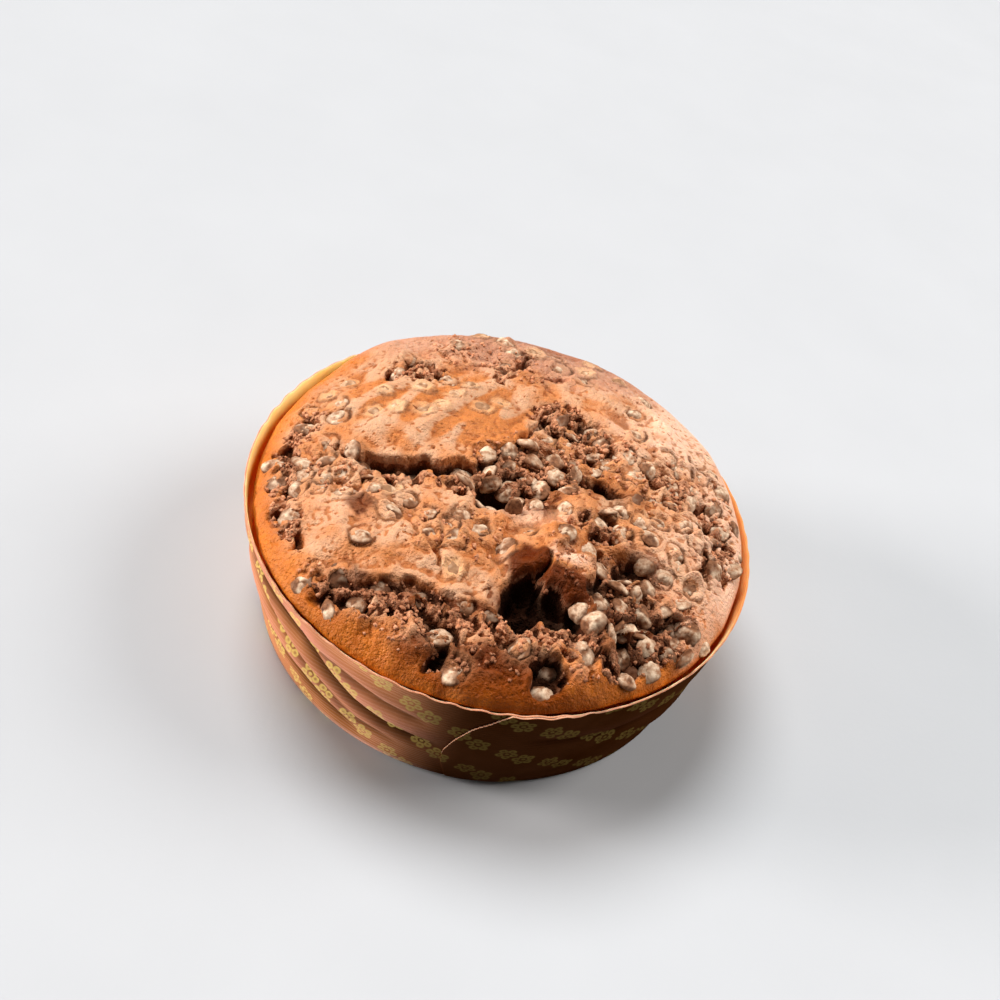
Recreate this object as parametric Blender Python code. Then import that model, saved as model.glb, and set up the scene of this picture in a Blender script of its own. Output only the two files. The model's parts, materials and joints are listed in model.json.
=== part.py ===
"""A chocolate-chip cake, as baked, in the printed paper case that it was baked in.

Two pieces: the cake, one solid from its flat foot to its cracked crust, and the paper case, a thin tapered
cup with a scalloped rim and one glued overlap. The origin is the middle of the underside, and +Z points up.
Lengths in the constants are in millimetres, and each mesh is scaled to metres as it is written.
"""

import math

import bmesh
import bpy
from mathutils import Vector, noise

MM = 0.001

# The case
RIM_RADIUS = 67.0
RIM_HEIGHT = 39.5
BASE_RADIUS = 60.5
BASE_CORNER = 3.0
PAPER = 0.5
WALL_BULGE = 0.7
SCALLOPS = 60
SCALLOP_DEPTH = 0.8
STEPS_PER_SCALLOP = 3

# The overlap, where the outer end of the wall strip lies over the inner one. Its cut edge bows: it stands
# furthest back at one height and swings away from there toward the rim and the foot.
OVERLAP_EDGE_DEG = 272.3
OVERLAP_WIDTH_DEG = 30.0
OVERLAP_BOW_DEG = 0.0165
OVERLAP_BOW_HEIGHT = 14.0

# The cake. The crust's edge stands this far above the rim, and this far in from the paper, on each side.
PAPER_GAP = 0.4
CROWN_RISE = 11.3
SHOULDER = {"west": -3.8, "east": -2.2, "back": 0.8, "front": -0.8}
DRAWN_IN = {"west": 2.0, "east": 1.3, "back": 0.5, "front": 0.5}
DOME_POWER = 3.0
GRID_STEPS = 48
LUMP_SIZE = 17.0
LUMP_RISE = 1.1
TEAR_SIZE = 6.0
TEAR_SHIFT = 1.3

# Each crack or ridge has half its width, how deep or high it is, and the places that its line runs through.
CRACKS = {
    "west": (2.5, 6.0, [(-45, -8), (-41, -10), (-35, -11.5), (-29, -10), (-22, -8), (-15, -6), (-7, -5)]),
    "south": (2.8, 3.5, [(-37, -50), (-29, -46), (-23, -46), (-17, -45), (-10, -45), (-3, -47), (5, -45)]),
    "east": (2.6, 6.2, [(16, 4.5), (19, 3.5), (24, 3), (28, 2), (33, 2)]),
    "north": (1.9, 3.6, [(-13, 40), (-9, 40.5), (-5, 42)]),
    "middle": (1.8, 3.2, [(5, 27), (4, 22), (2, 15), (-1, 9)]),
    "north_east": (1.8, 2.6, [(8, 28), (14, 27), (20, 24), (23, 21)]),
    "elbow": (2.0, 4.2, [(24, -20), (27, -24), (26, -31), (30, -36)]),
    "south_east": (2.1, 4.8, [(33, -38), (39, -36), (43, -33), (47, -30), (50, -29)]),
    "front_slot": (3.0, 6.0, [(30, -43), (32, -48), (35, -53), (36, -57)]),
}
RIDGES = {
    "bend": (4.4, 2.4, [(19, -6), (18, -14), (15, -20)]),
    "nose": (4.2, 3.3, [(15, -20.5), (9.6, -24.5), (8, -29.5)]),
    "lobe": (5.4, 3.8, [(17.5, -29.5), (23, -28.5)]),
}

# Each hollow has its middle, its reach across X and Y, and its depth. Each plate of crust has its middle, its
# length and breadth, the way that its length points in degrees, and how far it rose.
HOLLOWS = [
    (10.5, -40.5, 4.6, 6.4, 9.0), (19.5, -39.8, 5.6, 4.4, 7.5), (-3.5, -12, 4.0, 4.8, 8.0),
    (1.5, -11, 3.0, 3.6, 6.0), (-34.5, -51.5, 3.2, 2.4, 4.5), (-4.3, -60.0, 2.9, 3.1, 5.0),
    (19.5, -57.5, 3.6, 4.6, 5.0), (34.5, -21, 4.4, 3.6, 3.6), (29, -31.5, 4.2, 3.2, 3.6),
]
PLATES = [
    (-27, 9, 27, 15, 14, 2.2), (-33, -31, 17, 9, -15, 1.3), (27, 34, 20, 13, -25, 1.2),
    (41, -3, 13, 10, 0, 1.2), (35, -14, 9, 5, -10, 2.0), (-20, -57, 13, 7, 8, 1.4),
    (21, -54, 12, 6, -5, 1.6), (-12, -31, 10, 8, 0, 1.0), (-33, 40, 16, 9, 35, 1.0),
    (52, -22, 9, 12, 20, 0.9), (-8, -18, 11, 7, 0, 0.8),
]


def smooth(share):
    """0 to 1 with a level start and end."""
    share = min(max(share, 0.0), 1.0)
    return share * share * (3 - 2 * share)


def wall_radius(height):
    """The outside of the case's wall at a height: a straight taper, swollen a little halfway up."""
    share = height / RIM_HEIGHT
    return BASE_RADIUS + (RIM_RADIUS - BASE_RADIUS) * share + WALL_BULGE * math.sin(math.pi * share)


def rim_height(azimuth):
    """The cut top edge: even scallops, some deeper than others."""
    wave = 0.5 - 0.5 * math.cos(SCALLOPS * azimuth)
    depth = SCALLOP_DEPTH * (0.75 + 0.25 * math.sin(7 * azimuth))
    return RIM_HEIGHT - depth * wave


def overlap(azimuth, height):
    """1 where the wall is two layers thick, else 0."""
    edge = OVERLAP_EDGE_DEG + OVERLAP_BOW_DEG * (height - OVERLAP_BOW_HEIGHT) ** 2
    across = (math.degrees(azimuth) - edge) % 360
    return 1.0 if 0 < across < OVERLAP_WIDTH_DEG else 0.0


def around(azimuth, by_side):
    """A size that differs by side, at one azimuth. The west and the east are short stretches of the edge."""
    west = smooth(3.0 * -math.cos(azimuth + 0.02) - 2.0)
    east = smooth(2.5 * math.cos(azimuth + 0.32) - 1.4)
    back = (1 - west - east) * smooth(0.5 + 1.5 * math.sin(azimuth))
    shares = {"west": west, "east": east, "back": back, "front": 1 - west - east - back}
    return sum(share * by_side[side] for side, share in shares.items())


def distance_to_line(place, line):
    """The shortest way from a place to a line of straight runs."""
    nearest = math.inf
    for start, end in zip(line, line[1:]):
        along = Vector(end) - Vector(start)
        share = (place - Vector(start)).dot(along) / along.length_squared
        nearest = min(nearest, (place - Vector(start) - along * min(max(share, 0.0), 1.0)).length)
    return nearest


def relief(place):
    """How far the crust stands above or below its smooth dome at a place seen from above."""
    flat = Vector((place.x, place.y, 0.0))
    shift = noise.noise_vector(flat / TEAR_SIZE) * TEAR_SHIFT
    torn = place + Vector((shift.x, shift.y))
    rise = LUMP_RISE * noise.noise(flat / LUMP_SIZE)
    for x, y, length, breadth, turn, height in PLATES:
        way = Vector((math.cos(math.radians(turn)), math.sin(math.radians(turn))))
        offset = place - Vector((x, y))
        reach = math.hypot(offset.dot(way) / length, offset.dot(way.orthogonal()) / breadth)
        rise += height * smooth(1.7 - 1.25 * reach)
    for half_width, height, line in RIDGES.values():
        rise += height * smooth(1.5 - distance_to_line(place, line) / half_width)
    deepest = 0.0
    for half_width, depth, line in CRACKS.values():
        deepest = max(deepest, depth * smooth(1.5 - distance_to_line(torn, line) / half_width))
    for x, y, reach_x, reach_y, depth in HOLLOWS:
        reach = math.hypot((torn.x - x) / reach_x, (torn.y - y) / reach_y)
        deepest = max(deepest, depth * smooth(1.4 - reach))
    return rise - deepest


def crust_point(across, up):
    """A point of the crust, from a place on a square of half-width 1 spread evenly over the round cake."""
    reach = max(abs(across), abs(up))
    azimuth = 0.0
    if reach > 0:
        if abs(across) >= abs(up):
            azimuth = math.pi / 4 * up / across + (math.pi if across < 0 else 0.0)
        else:
            azimuth = math.pi / 2 - math.pi / 4 * across / up + (math.pi if up < 0 else 0.0)
    shoulder = RIM_HEIGHT + around(azimuth, SHOULDER)
    radius = reach * (wall_radius(shoulder) - PAPER - around(azimuth, DRAWN_IN))
    place = Vector((radius * math.cos(azimuth), radius * math.sin(azimuth)))
    dome = (1 - reach**DOME_POWER) ** 0.5
    height = shoulder + (RIM_HEIGHT + CROWN_RISE - shoulder) * dome
    height += relief(place) * smooth((1 - reach) * 11)
    return Vector((place.x, place.y, height))


def finish_object(name, mesh, color, roughness):
    """Writes a bmesh in millimetres to a named object in metres, with a material of its own."""
    bmesh.ops.recalc_face_normals(mesh, faces=mesh.faces)
    bmesh.ops.scale(mesh, vec=(MM, MM, MM), verts=mesh.verts)
    data = bpy.data.meshes.new(name)
    mesh.to_mesh(data)
    mesh.free()
    data.shade_smooth()
    data.set_sharp_from_angle(angle=math.radians(40))
    material = bpy.data.materials.new(name)
    material.use_nodes = True
    shader = material.node_tree.nodes["Principled BSDF"]
    shader.inputs["Base Color"].default_value = (*color, 1.0)
    shader.inputs["Roughness"].default_value = roughness
    shader.inputs["Metallic"].default_value = 0.0
    data.materials.append(material)
    piece = bpy.data.objects.new(name, data)
    bpy.context.scene.collection.objects.link(piece)
    return piece


def build_cake():
    """A grid spread over the round top and shaped as the crust, with its edge drawn down to a flat foot."""
    mesh = bmesh.new()
    bmesh.ops.create_grid(mesh, x_segments=GRID_STEPS, y_segments=GRID_STEPS, size=1.0)
    for corner in mesh.verts:
        corner.co = crust_point(corner.co.x, corner.co.y)
    floor = PAPER + PAPER_GAP
    for height in (RIM_HEIGHT * 0.5, floor + BASE_CORNER, floor):
        edge = [side for side in mesh.edges if side.is_boundary]
        made = bmesh.ops.extrude_edge_only(mesh, edges=edge)["geom"]
        inset = BASE_CORNER if height == floor else 0.0
        for corner in (item for item in made if isinstance(item, bmesh.types.BMVert)):
            azimuth = math.atan2(corner.co.y, corner.co.x)
            radius = wall_radius(height) - PAPER - PAPER_GAP - inset
            corner.co = (radius * math.cos(azimuth), radius * math.sin(azimuth), height)
    bmesh.ops.holes_fill(mesh, edges=[side for side in mesh.edges if side.is_boundary])
    return finish_object("cake", mesh, (0.42, 0.17, 0.06), 0.7)


def case_rings():
    """The case's profile from the middle of its underside, up its outside, over the rim, down to its floor."""
    steps = SCALLOPS * STEPS_PER_SCALLOP
    turns = [2 * math.pi * step / steps for step in range(steps)]
    centre = wall_radius(BASE_CORNER) - BASE_CORNER
    rings = []
    for bend in (0.0, math.pi / 4):
        radius, height = centre + BASE_CORNER * math.sin(bend), BASE_CORNER * (1 - math.cos(bend))
        rings.append([(radius, turn, height) for turn in turns])
    for height in (BASE_CORNER, RIM_HEIGHT * 0.4, RIM_HEIGHT * 0.75):
        rings.append([(wall_radius(height) + PAPER * overlap(turn, height), turn, height) for turn in turns])
    rims = [(wall_radius(rim_height(turn)), turn, rim_height(turn)) for turn in turns]
    rings.append([(radius + PAPER * overlap(turn, RIM_HEIGHT), turn, top) for radius, turn, top in rims])
    rings.append([(radius - PAPER, turn, height) for radius, turn, height in rims])
    for height in (RIM_HEIGHT * 0.5, BASE_CORNER + PAPER):
        rings.append([(wall_radius(height) - PAPER, turn, height) for turn in turns])
    rings.append([(centre - PAPER, turn, PAPER) for turn in turns])
    return rings


def build_case():
    """Bridges the profile's rings and closes the underside and the floor with a fan each."""
    mesh = bmesh.new()
    loops = [
        [mesh.verts.new((radius * math.cos(turn), radius * math.sin(turn), up)) for radius, turn, up in ring]
        for ring in case_rings()
    ]
    for lower, upper in zip(loops, loops[1:]):
        for step in range(len(lower)):
            after = (step + 1) % len(lower)
            mesh.faces.new((lower[step], lower[after], upper[after], upper[step]))
    for loop, height in ((loops[0], 0.0), (loops[-1], PAPER)):
        middle = mesh.verts.new((0.0, 0.0, height))
        for step in range(len(loop)):
            mesh.faces.new((loop[step], loop[(step + 1) % len(loop)], middle))
    return finish_object("paper_case", mesh, (0.30, 0.11, 0.06), 0.6)


for leftover in list(bpy.data.objects):
    bpy.data.objects.remove(leftover)
build_cake()
build_case()
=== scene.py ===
# %% [markdown]
# # A chocolate-chip cake in its paper case
# A small round cake, as it comes out of the oven: a cracked golden crust full of chocolate chips, still in
# the printed paper mould that it was baked in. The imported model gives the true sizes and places. This
# lesson puts the looks round it: the crust, the chips, the crumbs, the paper, then the floor, the lights
# and the camera.

# %% Load the model that everything is fitted to
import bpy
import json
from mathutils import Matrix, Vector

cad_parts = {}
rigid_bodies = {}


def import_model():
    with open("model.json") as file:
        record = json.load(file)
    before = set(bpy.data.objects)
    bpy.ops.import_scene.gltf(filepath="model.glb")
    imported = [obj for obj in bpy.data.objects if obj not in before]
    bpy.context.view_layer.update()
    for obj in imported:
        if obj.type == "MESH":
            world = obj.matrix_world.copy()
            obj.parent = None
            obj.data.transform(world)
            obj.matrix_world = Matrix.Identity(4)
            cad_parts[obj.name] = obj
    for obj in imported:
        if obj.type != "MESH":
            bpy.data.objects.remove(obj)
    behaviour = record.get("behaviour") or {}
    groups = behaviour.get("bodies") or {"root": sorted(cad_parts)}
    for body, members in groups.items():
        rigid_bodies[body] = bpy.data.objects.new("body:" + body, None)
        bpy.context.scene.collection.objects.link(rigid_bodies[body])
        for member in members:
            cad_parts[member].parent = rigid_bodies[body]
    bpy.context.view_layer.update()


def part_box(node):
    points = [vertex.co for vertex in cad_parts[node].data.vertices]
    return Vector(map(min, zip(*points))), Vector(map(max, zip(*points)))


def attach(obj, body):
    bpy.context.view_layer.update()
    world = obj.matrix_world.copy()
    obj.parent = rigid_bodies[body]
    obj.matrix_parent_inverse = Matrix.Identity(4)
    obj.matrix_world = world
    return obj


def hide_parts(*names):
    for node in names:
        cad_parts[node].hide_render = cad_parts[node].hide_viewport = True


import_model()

import json
import math

import bpy
import numpy as np
from mathutils import Matrix, Vector

MM = 0.001

# %% [markdown]
# ## Sizes
# The sizes are read from the model, in millimetres, so that nothing has to be fitted afterwards. The origin
# is in the middle of the case's underside, and Z is up.

# %% Read the sizes from the model
case_low, case_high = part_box("paper_case")
RIM_RADIUS = (case_high.x - case_low.x) / 2 / MM
RIM_HEIGHT = case_high.z / MM
CROWN_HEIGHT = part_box("cake")[1].z / MM
RIDGE_RISE = 5.8
DOME_HEIGHT = CROWN_HEIGHT - RIDGE_RISE
BASE_SHARE = 0.903
BASE_RADIUS = BASE_SHARE * RIM_RADIUS
BASE_CORNER = 3.0
PAPER = 0.5
WALL_BULGE = 0.7
print(f"rim {2 * RIM_RADIUS:.1f} mm across and {RIM_HEIGHT:.1f} mm high, crown at {CROWN_HEIGHT:.1f} mm")


# %% [markdown]
# ## Helpers
# All shapes here are worked out as arrays of points and then turned into meshes. That suits a crust: its
# height can be written as a sum of simple hills, cracks and pits over a fine grid. One number for each
# point, such as how torn the crust is there, goes along as an attribute, and the material reads it.

# %% A mesh from arrays of points
def mesh_piece(name, points_mm, faces, numbers=None):
    """Makes a smooth-shaded object from points in millimetres, with numbers stored on its points by name."""
    mesh = bpy.data.meshes.new(name)
    mesh.from_pydata((np.asarray(points_mm) * MM).tolist(), [], faces)
    mesh.polygons.foreach_set("use_smooth", [True] * len(mesh.polygons))
    for label, values in (numbers or {}).items():
        layer = mesh.attributes.new(label, "FLOAT", "POINT")
        layer.data.foreach_set("value", np.asarray(values, dtype=np.float32).ravel())
    piece = bpy.data.objects.new(name, mesh)
    bpy.context.scene.collection.objects.link(piece)
    return piece


def grid_faces(rows, columns, closed=False):
    """Four-sided faces of a grid of points laid out row by row; closed joins the last column to the first."""
    row, column = np.meshgrid(np.arange(rows - 1), np.arange(columns - (not closed)), indexing="ij")
    right = (column + 1) % columns
    near, far = row * columns, (row + 1) * columns
    corners = (near + column, near + right, far + right, far + column)
    return np.stack([corner.ravel() for corner in corners], axis=1).tolist()


def grid_border(rows, columns):
    """Numbers of the points round a grid's edge, in order."""
    index = np.arange(rows * columns).reshape(rows, columns)
    return np.concatenate([index[0, :-1], index[:-1, -1], index[-1, :0:-1], index[:0:-1, 0]])


def round_axis(radius, azimuth, height):
    """Points from their distance to the middle axis, their angle round it and their height."""
    return np.stack([radius * np.cos(azimuth), radius * np.sin(azimuth), height], axis=-1)


# %% Many small pieces as one mesh
def joined(parts):
    """Points, faces and numbers of many small closed grids, each given as its points and its numbers."""
    rows, columns = parts[0][0].shape[:2]
    one = np.array(grid_faces(rows, columns, closed=True))
    faces = [face for place in range(len(parts)) for face in (one + place * rows * columns).tolist()]
    numbers = {label: np.concatenate([np.broadcast_to(values[label], (rows, columns)).ravel()
                                      for _, values in parts]) for label in parts[0][1]}
    return np.concatenate([points.reshape(-1, 3) for points, _ in parts]), faces, numbers


# %% [markdown]
# Nothing baked is regular, so most shapes need a little chance. The two noises below are seeded, and give
# the same cake every time: `hills` is smooth and rolling, and `pores` gives the distance to the nearest of
# many scattered points, which makes bubbles, pits and crumb.

# %% Two kinds of noise
def smooth(share):
    """A soft step from 0 to 1."""
    share = np.clip(share, 0.0, 1.0)
    return share * share * (3 - 2 * share)


def hills(x, y, size, seed):
    """Rolling noise from about -1 to 1, with hills about `size` apart."""
    turns = np.random.default_rng(seed).uniform(0, 2 * np.pi, (64, 64))
    u, v = x / size + 200.0, y / size + 200.0
    i, j = np.floor(u).astype(int), np.floor(v).astype(int)
    u, v = u - i, v - j
    total = 0.0
    for di in (0, 1):
        for dj in (0, 1):
            turn = turns[(i + di) % 64, (j + dj) % 64]
            weight = smooth(1 - abs(u - di)) * smooth(1 - abs(v - dj))
            total = total + weight * (np.cos(turn) * (u - di) + np.sin(turn) * (v - dj))
    return 1.6 * total


def pores(x, y, size, seed):
    """Distance to the nearest of points that lie about `size` apart, and that point's own number."""
    spots = np.random.default_rng(seed).uniform(0, 1, (64, 64, 3))
    u, v = x / size + 200.0, y / size + 200.0
    i, j = np.floor(u).astype(int), np.floor(v).astype(int)
    nearest = np.full(np.shape(u), 9.0)
    number = np.zeros(np.shape(u))
    for di in (-1, 0, 1):
        for dj in (-1, 0, 1):
            spot = spots[(i + di) % 64, (j + dj) % 64]
            distance = np.hypot(i + di + spot[..., 0] - u, j + dj + spot[..., 1] - v)
            number = np.where(distance < nearest, spot[..., 2], number)
            nearest = np.minimum(nearest, distance)
    return nearest, number


# %% [markdown]
# A crack is a line on the crust. The next helper gives, for each point, how far the line is, which way it
# lies, and how far along it the nearest place is, so that a crack can be wide in its middle and thin at its
# ends.

# %% Where a line lies from each point
def nearest_on_line(x, y, line):
    """Distance to a line of straight stretches, the unit step toward it, and how far along it that is."""
    lengths = [math.dist(a, b) for a, b in zip(line, line[1:])]
    best = np.full(np.shape(x), 1e9)
    step_x, step_y, along = np.zeros(np.shape(x)), np.zeros(np.shape(x)), np.zeros(np.shape(x))
    before = 0.0
    for (x0, y0), (x1, y1), length in zip(line, line[1:], lengths):
        ux, uy = (x1 - x0) / length, (y1 - y0) / length
        run = np.clip((x - x0) * ux + (y - y0) * uy, 0, length)
        dx, dy = x0 + run * ux - x, y0 + run * uy - y
        distance = np.hypot(dx, dy)
        closer = distance < best
        safe = np.maximum(distance, 1e-6)
        step_x, step_y = np.where(closer, dx / safe, step_x), np.where(closer, dy / safe, step_y)
        along = np.where(closer, (before + run) / sum(lengths), along)
        best = np.minimum(best, distance)
        before += length
    return best, step_x, step_y, along


# %% [markdown]
# ## The form of the cake
# The crust starts as a low dome. Where it meets the paper it is at the rim in front and behind, and lower
# at the left and right, where the cake drew away from the paper as it cooled and the pale inside of the
# case shows.

# %% The dome
SHOULDER = {"front": -0.8, "back": 0.8, "west": -3.8, "east": -2.2}
DRAWN_IN = {"front": 0.5, "back": 0.5, "west": 1.6, "east": 1.3}
DOME_POWER = 3.0
EDGE_FADE = 11.0


def wall_radius(height):
    """Outer radius of the paper wall."""
    share = np.asarray(height) / RIM_HEIGHT
    return BASE_RADIUS + (RIM_RADIUS - BASE_RADIUS) * share + WALL_BULGE * np.sin(np.pi * share)


def sides(azimuth):
    """How much a place belongs to the cake's west, east, back and front: four shares that add up to 1."""
    west = smooth(3.0 * -np.cos(azimuth + 0.02) - 2.0)
    east = smooth(2.5 * np.cos(azimuth + 0.32) - 1.4)
    back = (1 - west - east) * smooth(0.5 + 1.5 * np.sin(azimuth))
    return west, east, back, 1 - west - east - back


def by_side(azimuth, values):
    """A value that is given for each side, blended round the cake."""
    return sum(share * values[side] for share, side in zip(sides(azimuth), ("west", "east", "back", "front")))


def shoulder_height(azimuth):
    """Height of the crust's edge, where it meets the paper."""
    offset = by_side(azimuth, SHOULDER)
    return RIM_HEIGHT + offset + 0.35 * np.sin(5 * azimuth + 1) + 0.25 * np.sin(11 * azimuth)


def crust_radius(azimuth):
    """Radius of the crust's edge, inside the paper."""
    ripple = 0.15 * np.sin(9 * azimuth) + 0.12 * np.sin(17 * azimuth + 2)
    return wall_radius(shoulder_height(azimuth)) - PAPER - by_side(azimuth, DRAWN_IN) - abs(ripple)


edge_heights = shoulder_height(np.linspace(0, 2 * np.pi, 360))
print(f"crust's edge from {edge_heights.min():.1f} to {edge_heights.max():.1f} mm high")


# %% [markdown]
# Next come the big shapes: plates of crust that rose by different amounts, the cracks between them and the
# craters where the batter broke through. They are few, so they are listed one by one, as seen from above,
# in millimetres from the middle: x to the right, y away from the viewer.

# %% Plates and ridges
PLATES = [  # x, y, length, breadth, turn, rise
    (-27, 9, 27, 15, 14, 2.2), (-33, -31, 17, 9, -15, 1.3), (27, 34, 20, 13, -25, 1.2),
    (41, -3, 13, 10, 0, 1.2), (35, -14, 9, 5, -10, 2.0), (-20, -57, 13, 7, 8, 1.4),
    (21, -54, 12, 6, -5, 1.6), (-12, -31, 10, 8, 0, 1.0), (-33, 40, 16, 9, 35, 1.0),
    (52, -22, 9, 12, 20, 0.9), (-8, -18, 11, 7, 0, 0.8),
]
RIDGES = [  # half-width, rise, line
    (4.4, 2.4, [(19, -6), (18, -14), (15, -20)]), (4.2, 3.3, [(15, -20.5), (9.6, -24.5), (8, -29.5)]),
    (5.4, 3.8, [(17.5, -29.5), (23, -28.5)]), (4.0, 1.2, [(2, -17), (8, -15)]),
    (2.6, 3.0, [(28.6, -42), (31.5, -47.5), (34.5, -54)]),
]
print(len(PLATES), "plates and", len(RIDGES), "ridges")

# %% Cracks and craters
CRACKS = {  # half-width, depth, line
    "west": (2.5, 6.0, [(-45, -8), (-41, -10), (-35, -11.5), (-29, -10), (-22, -8), (-15, -6), (-7, -5)]),
    "south": (2.4, 3.0, [(-33, -49), (-28, -47), (-22, -46.5), (-17, -45), (-10, -45), (-3, -47), (5, -45)]),
    "east": (2.6, 6.2, [(16, 4.5), (19, 3.5), (24, 3), (28, 2), (33, 2)]),
    "north": (1.3, 3.6, [(-13, 40), (-9, 40.5), (-5, 42)]),
    "north_right": (1.0, 2.8, [(1, 41), (4, 42), (6, 44)]),
    "middle": (1.2, 3.2, [(5, 27), (4, 22), (2, 15), (-1, 9)]),
    "north_east": (1.3, 2.6, [(8, 28), (14, 27), (20, 24), (23, 21)]),
    "elbow": (1.8, 4.2, [(24, -20), (27, -24), (26, -31), (30, -36)]),
    "south_east": (1.9, 4.8, [(33, -38), (39, -36), (43, -33), (47, -30), (50, -29)]),
    "front_slot": (2.6, 5.5, [(34, -38.5), (36.5, -42), (38.5, -46), (39.5, -49)]),
    "gully": (0.9, 3.0, [(13.6, -28), (13.2, -31), (13, -36)]),
    "hook": (1.0, 2.6, [(-11, -32), (-12, -34), (-10.5, -37)]),
    "west_end": (1.0, 2.2, [(-35, -15), (-35, -21), (-31, -23)]),
    "right_hair": (0.5, 1.2, [(45, -17), (50, -15), (57, -16)]),
}
CRATERS = [  # x, y, half-length, half-breadth, depth
    (10.5, -40.5, 4.6, 6.4, 9.0), (19.5, -39.8, 5.6, 4.4, 7.5), (-3.5, -12, 4.0, 4.8, 8.0),
    (1.5, -11, 3.0, 3.6, 6.0), (-4.3, -24, 2.4, 2.0, 3.2), (-34.5, -51.5, 3.2, 2.4, 4.5),
    (-4.3, -60.0, 2.9, 3.1, 5.0), (20.2, -55.5, 4.4, 4.2, 5.5), (34.5, -21, 4.4, 3.6, 3.6),
    (29, -31.5, 4.2, 3.2, 3.6), (-32.3, -31, 2.6, 2.4, 1.2), (35, 20.5, 1.8, 1.4, 2.5),
    (40.5, 16, 1.8, 1.6, 2.5), (47.5, 41, 2.0, 1.5, 2.0), (-3.8, 46.6, 1.4, 1.1, 2.0),
    (-9, 8.5, 1.1, 1.0, 1.2), (-1, 8.5, 2.0, 1.6, 3.2), (24, -50.5, 1.6, 2.0, 3.0),
    (8.5, -51, 2.2, 1.8, 3.0), (0, -50, 2.6, 1.6, 2.6), (-22, -48.5, 2.4, 1.4, 2.4),
    (61.5, -16, 1.2, 2.4, 2.0),
]
print(len(CRACKS), "cracks and", len(CRATERS), "craters")

# %% [markdown]
# The skin is not the same all over. It is torn where the batter rose last and rumpled round those places.
# The browned places are partly real browning and partly painted shade, on faces turned from the lamps, in
# craters, between chips and along the front shoulder. The dry places are pale, pinkish skin and partly
# painted sheen, and the dusky ones are duller and darker. Each list gives the places of one of these, as
# bands along a line or as soft ovals.

# %% Torn, rumpled, browned and shaded, dry and sheened places
TORN = [  # half-width, line: where the skin is gone and the crumb shows
    (3.6, [(-55, 3), (-56, -9), (-54, -20), (-51, -30), (-46, -39)]),
    (4.2, [(-33, -50), (-20, -50.5), (-7, -52)]), (4.0, [(-7, -52), (6, -51), (18, -47), (27, -46)]),
    (2.6, [(3, -53), (12, -50.5)]), (4.0, [(-37, 27), (-30, 31)]), (6.0, [(6, 26), (14, 22), (20, 17)]),
    (9.0, [(-3, -5), (5, 2), (9, 6)]), (5.0, [(29, -24), (34, -33), (45, -32)]),
    (5.0, [(36, -47), (48, -38)]), (2.6, [(-31, -14), (-17, -11), (-9, -12)]),
    (4.0, [(23, -12), (27, -12)]), (4.0, [(51, 10), (57, 1), (56, -9)]), (5.0, [(37, 14), (44, 12)]),
    (2.5, [(-10, 36), (-4, 50)]),
]
BROWNED_AND_SHADED = [  # x, y, half-length, half-breadth, amount: browned most by the oven, partly painted shade
    (9.8, -31.5, 4.4, 5, 1.4), (19.5, -34.5, 6.5, 4.2, 1.3), (13.6, -33, 2.0, 4, 1.2), (11, -41, 8, 6, 1.2),
    (16, -21, 3, 3, 0.7), (-18, -48, 22, 4.5, 0.85), (4, -45.5, 22, 3.0, 0.7), (36, -38, 15, 10, 0.95),
    (-30, -51, 8, 4, 0.8), (36, -50, 6, 6, 0.7), (-20, 59, 22, 8, 0.4), (24, -12, 6, 4, 0.6),
    (-48, -20, 5, 10, 0.3), (2, -6, 14, 9, 0.75), (26, 2, 10, 5, 0.8), (12, 24, 10, 6, 0.5),
    (-12, -9, 9, 4, 0.3), (0, 63, 46, 6, 0.6), (36, -19, 9, 5, 0.7), (-33, -26, 4, 4, 0.9),
    (-10, -22, 6, 4, 0.5), (8, -57.5, 26, 3.2, 0.7), (19.9, -55.5, 4.5, 4, 1.3), (-4, -59, 4, 3, 1.2),
    (28, 28, 5, 6, 0.3), (-28, -57, 24, 7, 0.5), (-6, -63, 44, 5, 0.4), (9, -60, 28, 7, 1.0),
]
RUMPLED = [  # half-width, line: where the skin is most uneven
    (14.0, [(0, -2), (18, 12), (40, 10)]), (14.0, [(26, -22), (44, -34)]), (8.0, [(-48, -16), (-30, -18)]),
    (9.0, [(-5, 44), (-25, 46)]), (9.0, [(-14, -28), (-4, -26)]), (9.0, [(56, -4), (54, 16)]),
    (9.0, [(-36, -52), (-8, -54), (20, -52), (34, -50)]),
]
DRY_AND_SHEEN = [  # x, y, half-length, half-breadth, amount: dry pale pinkish skin, partly painted sheen
    (57, 8, 10, 34, 0.8), (47, -14, 10, 14, 0.45), (44, 42, 14, 22, 0.95), (14, 52, 18, 9, 0.4),
    (34, 26, 16, 12, 0.35), (63, -8, 5, 22, 0.9), (-30, 48, 20, 12, 0.35), (19, -26.8, 5, 2.0, 0.9),
    (7, -14, 10, 4, 0.6), (-34, -24, 16, 10, 0.15), (55, -30, 8, 10, 0.5),
]
DUSKY = [  # x, y, half-length, half-breadth, amount: where the skin is duller and darker
    (-8, 54, 42, 12, 0.9), (-40, 44, 10, 12, 0.6),
]
print(len(TORN), "torn bands,", len(BROWNED_AND_SHADED), "browned places and", len(DRY_AND_SHEEN) + len(DUSKY), "dry ones")


# %% [markdown]
# The shape of the crust at any point is then a sum. Each part gives a height, and the cracks also push
# their lips a little over the gap, which a plain height could not do. Both are kept, with two shares: how
# deep a point is in a crack, and how torn the skin is.

# %% Bands and patches
def line_share(x, y, lines, softness, ragged=0.0):
    """From 0 outside to 1 inside a band along each line."""
    share = np.zeros(np.shape(x))
    for half_width, line in lines:
        inside = half_width - nearest_on_line(x, y, line)[0] + ragged
        share = np.maximum(share, smooth(inside / softness + 0.5))
    return share


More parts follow.
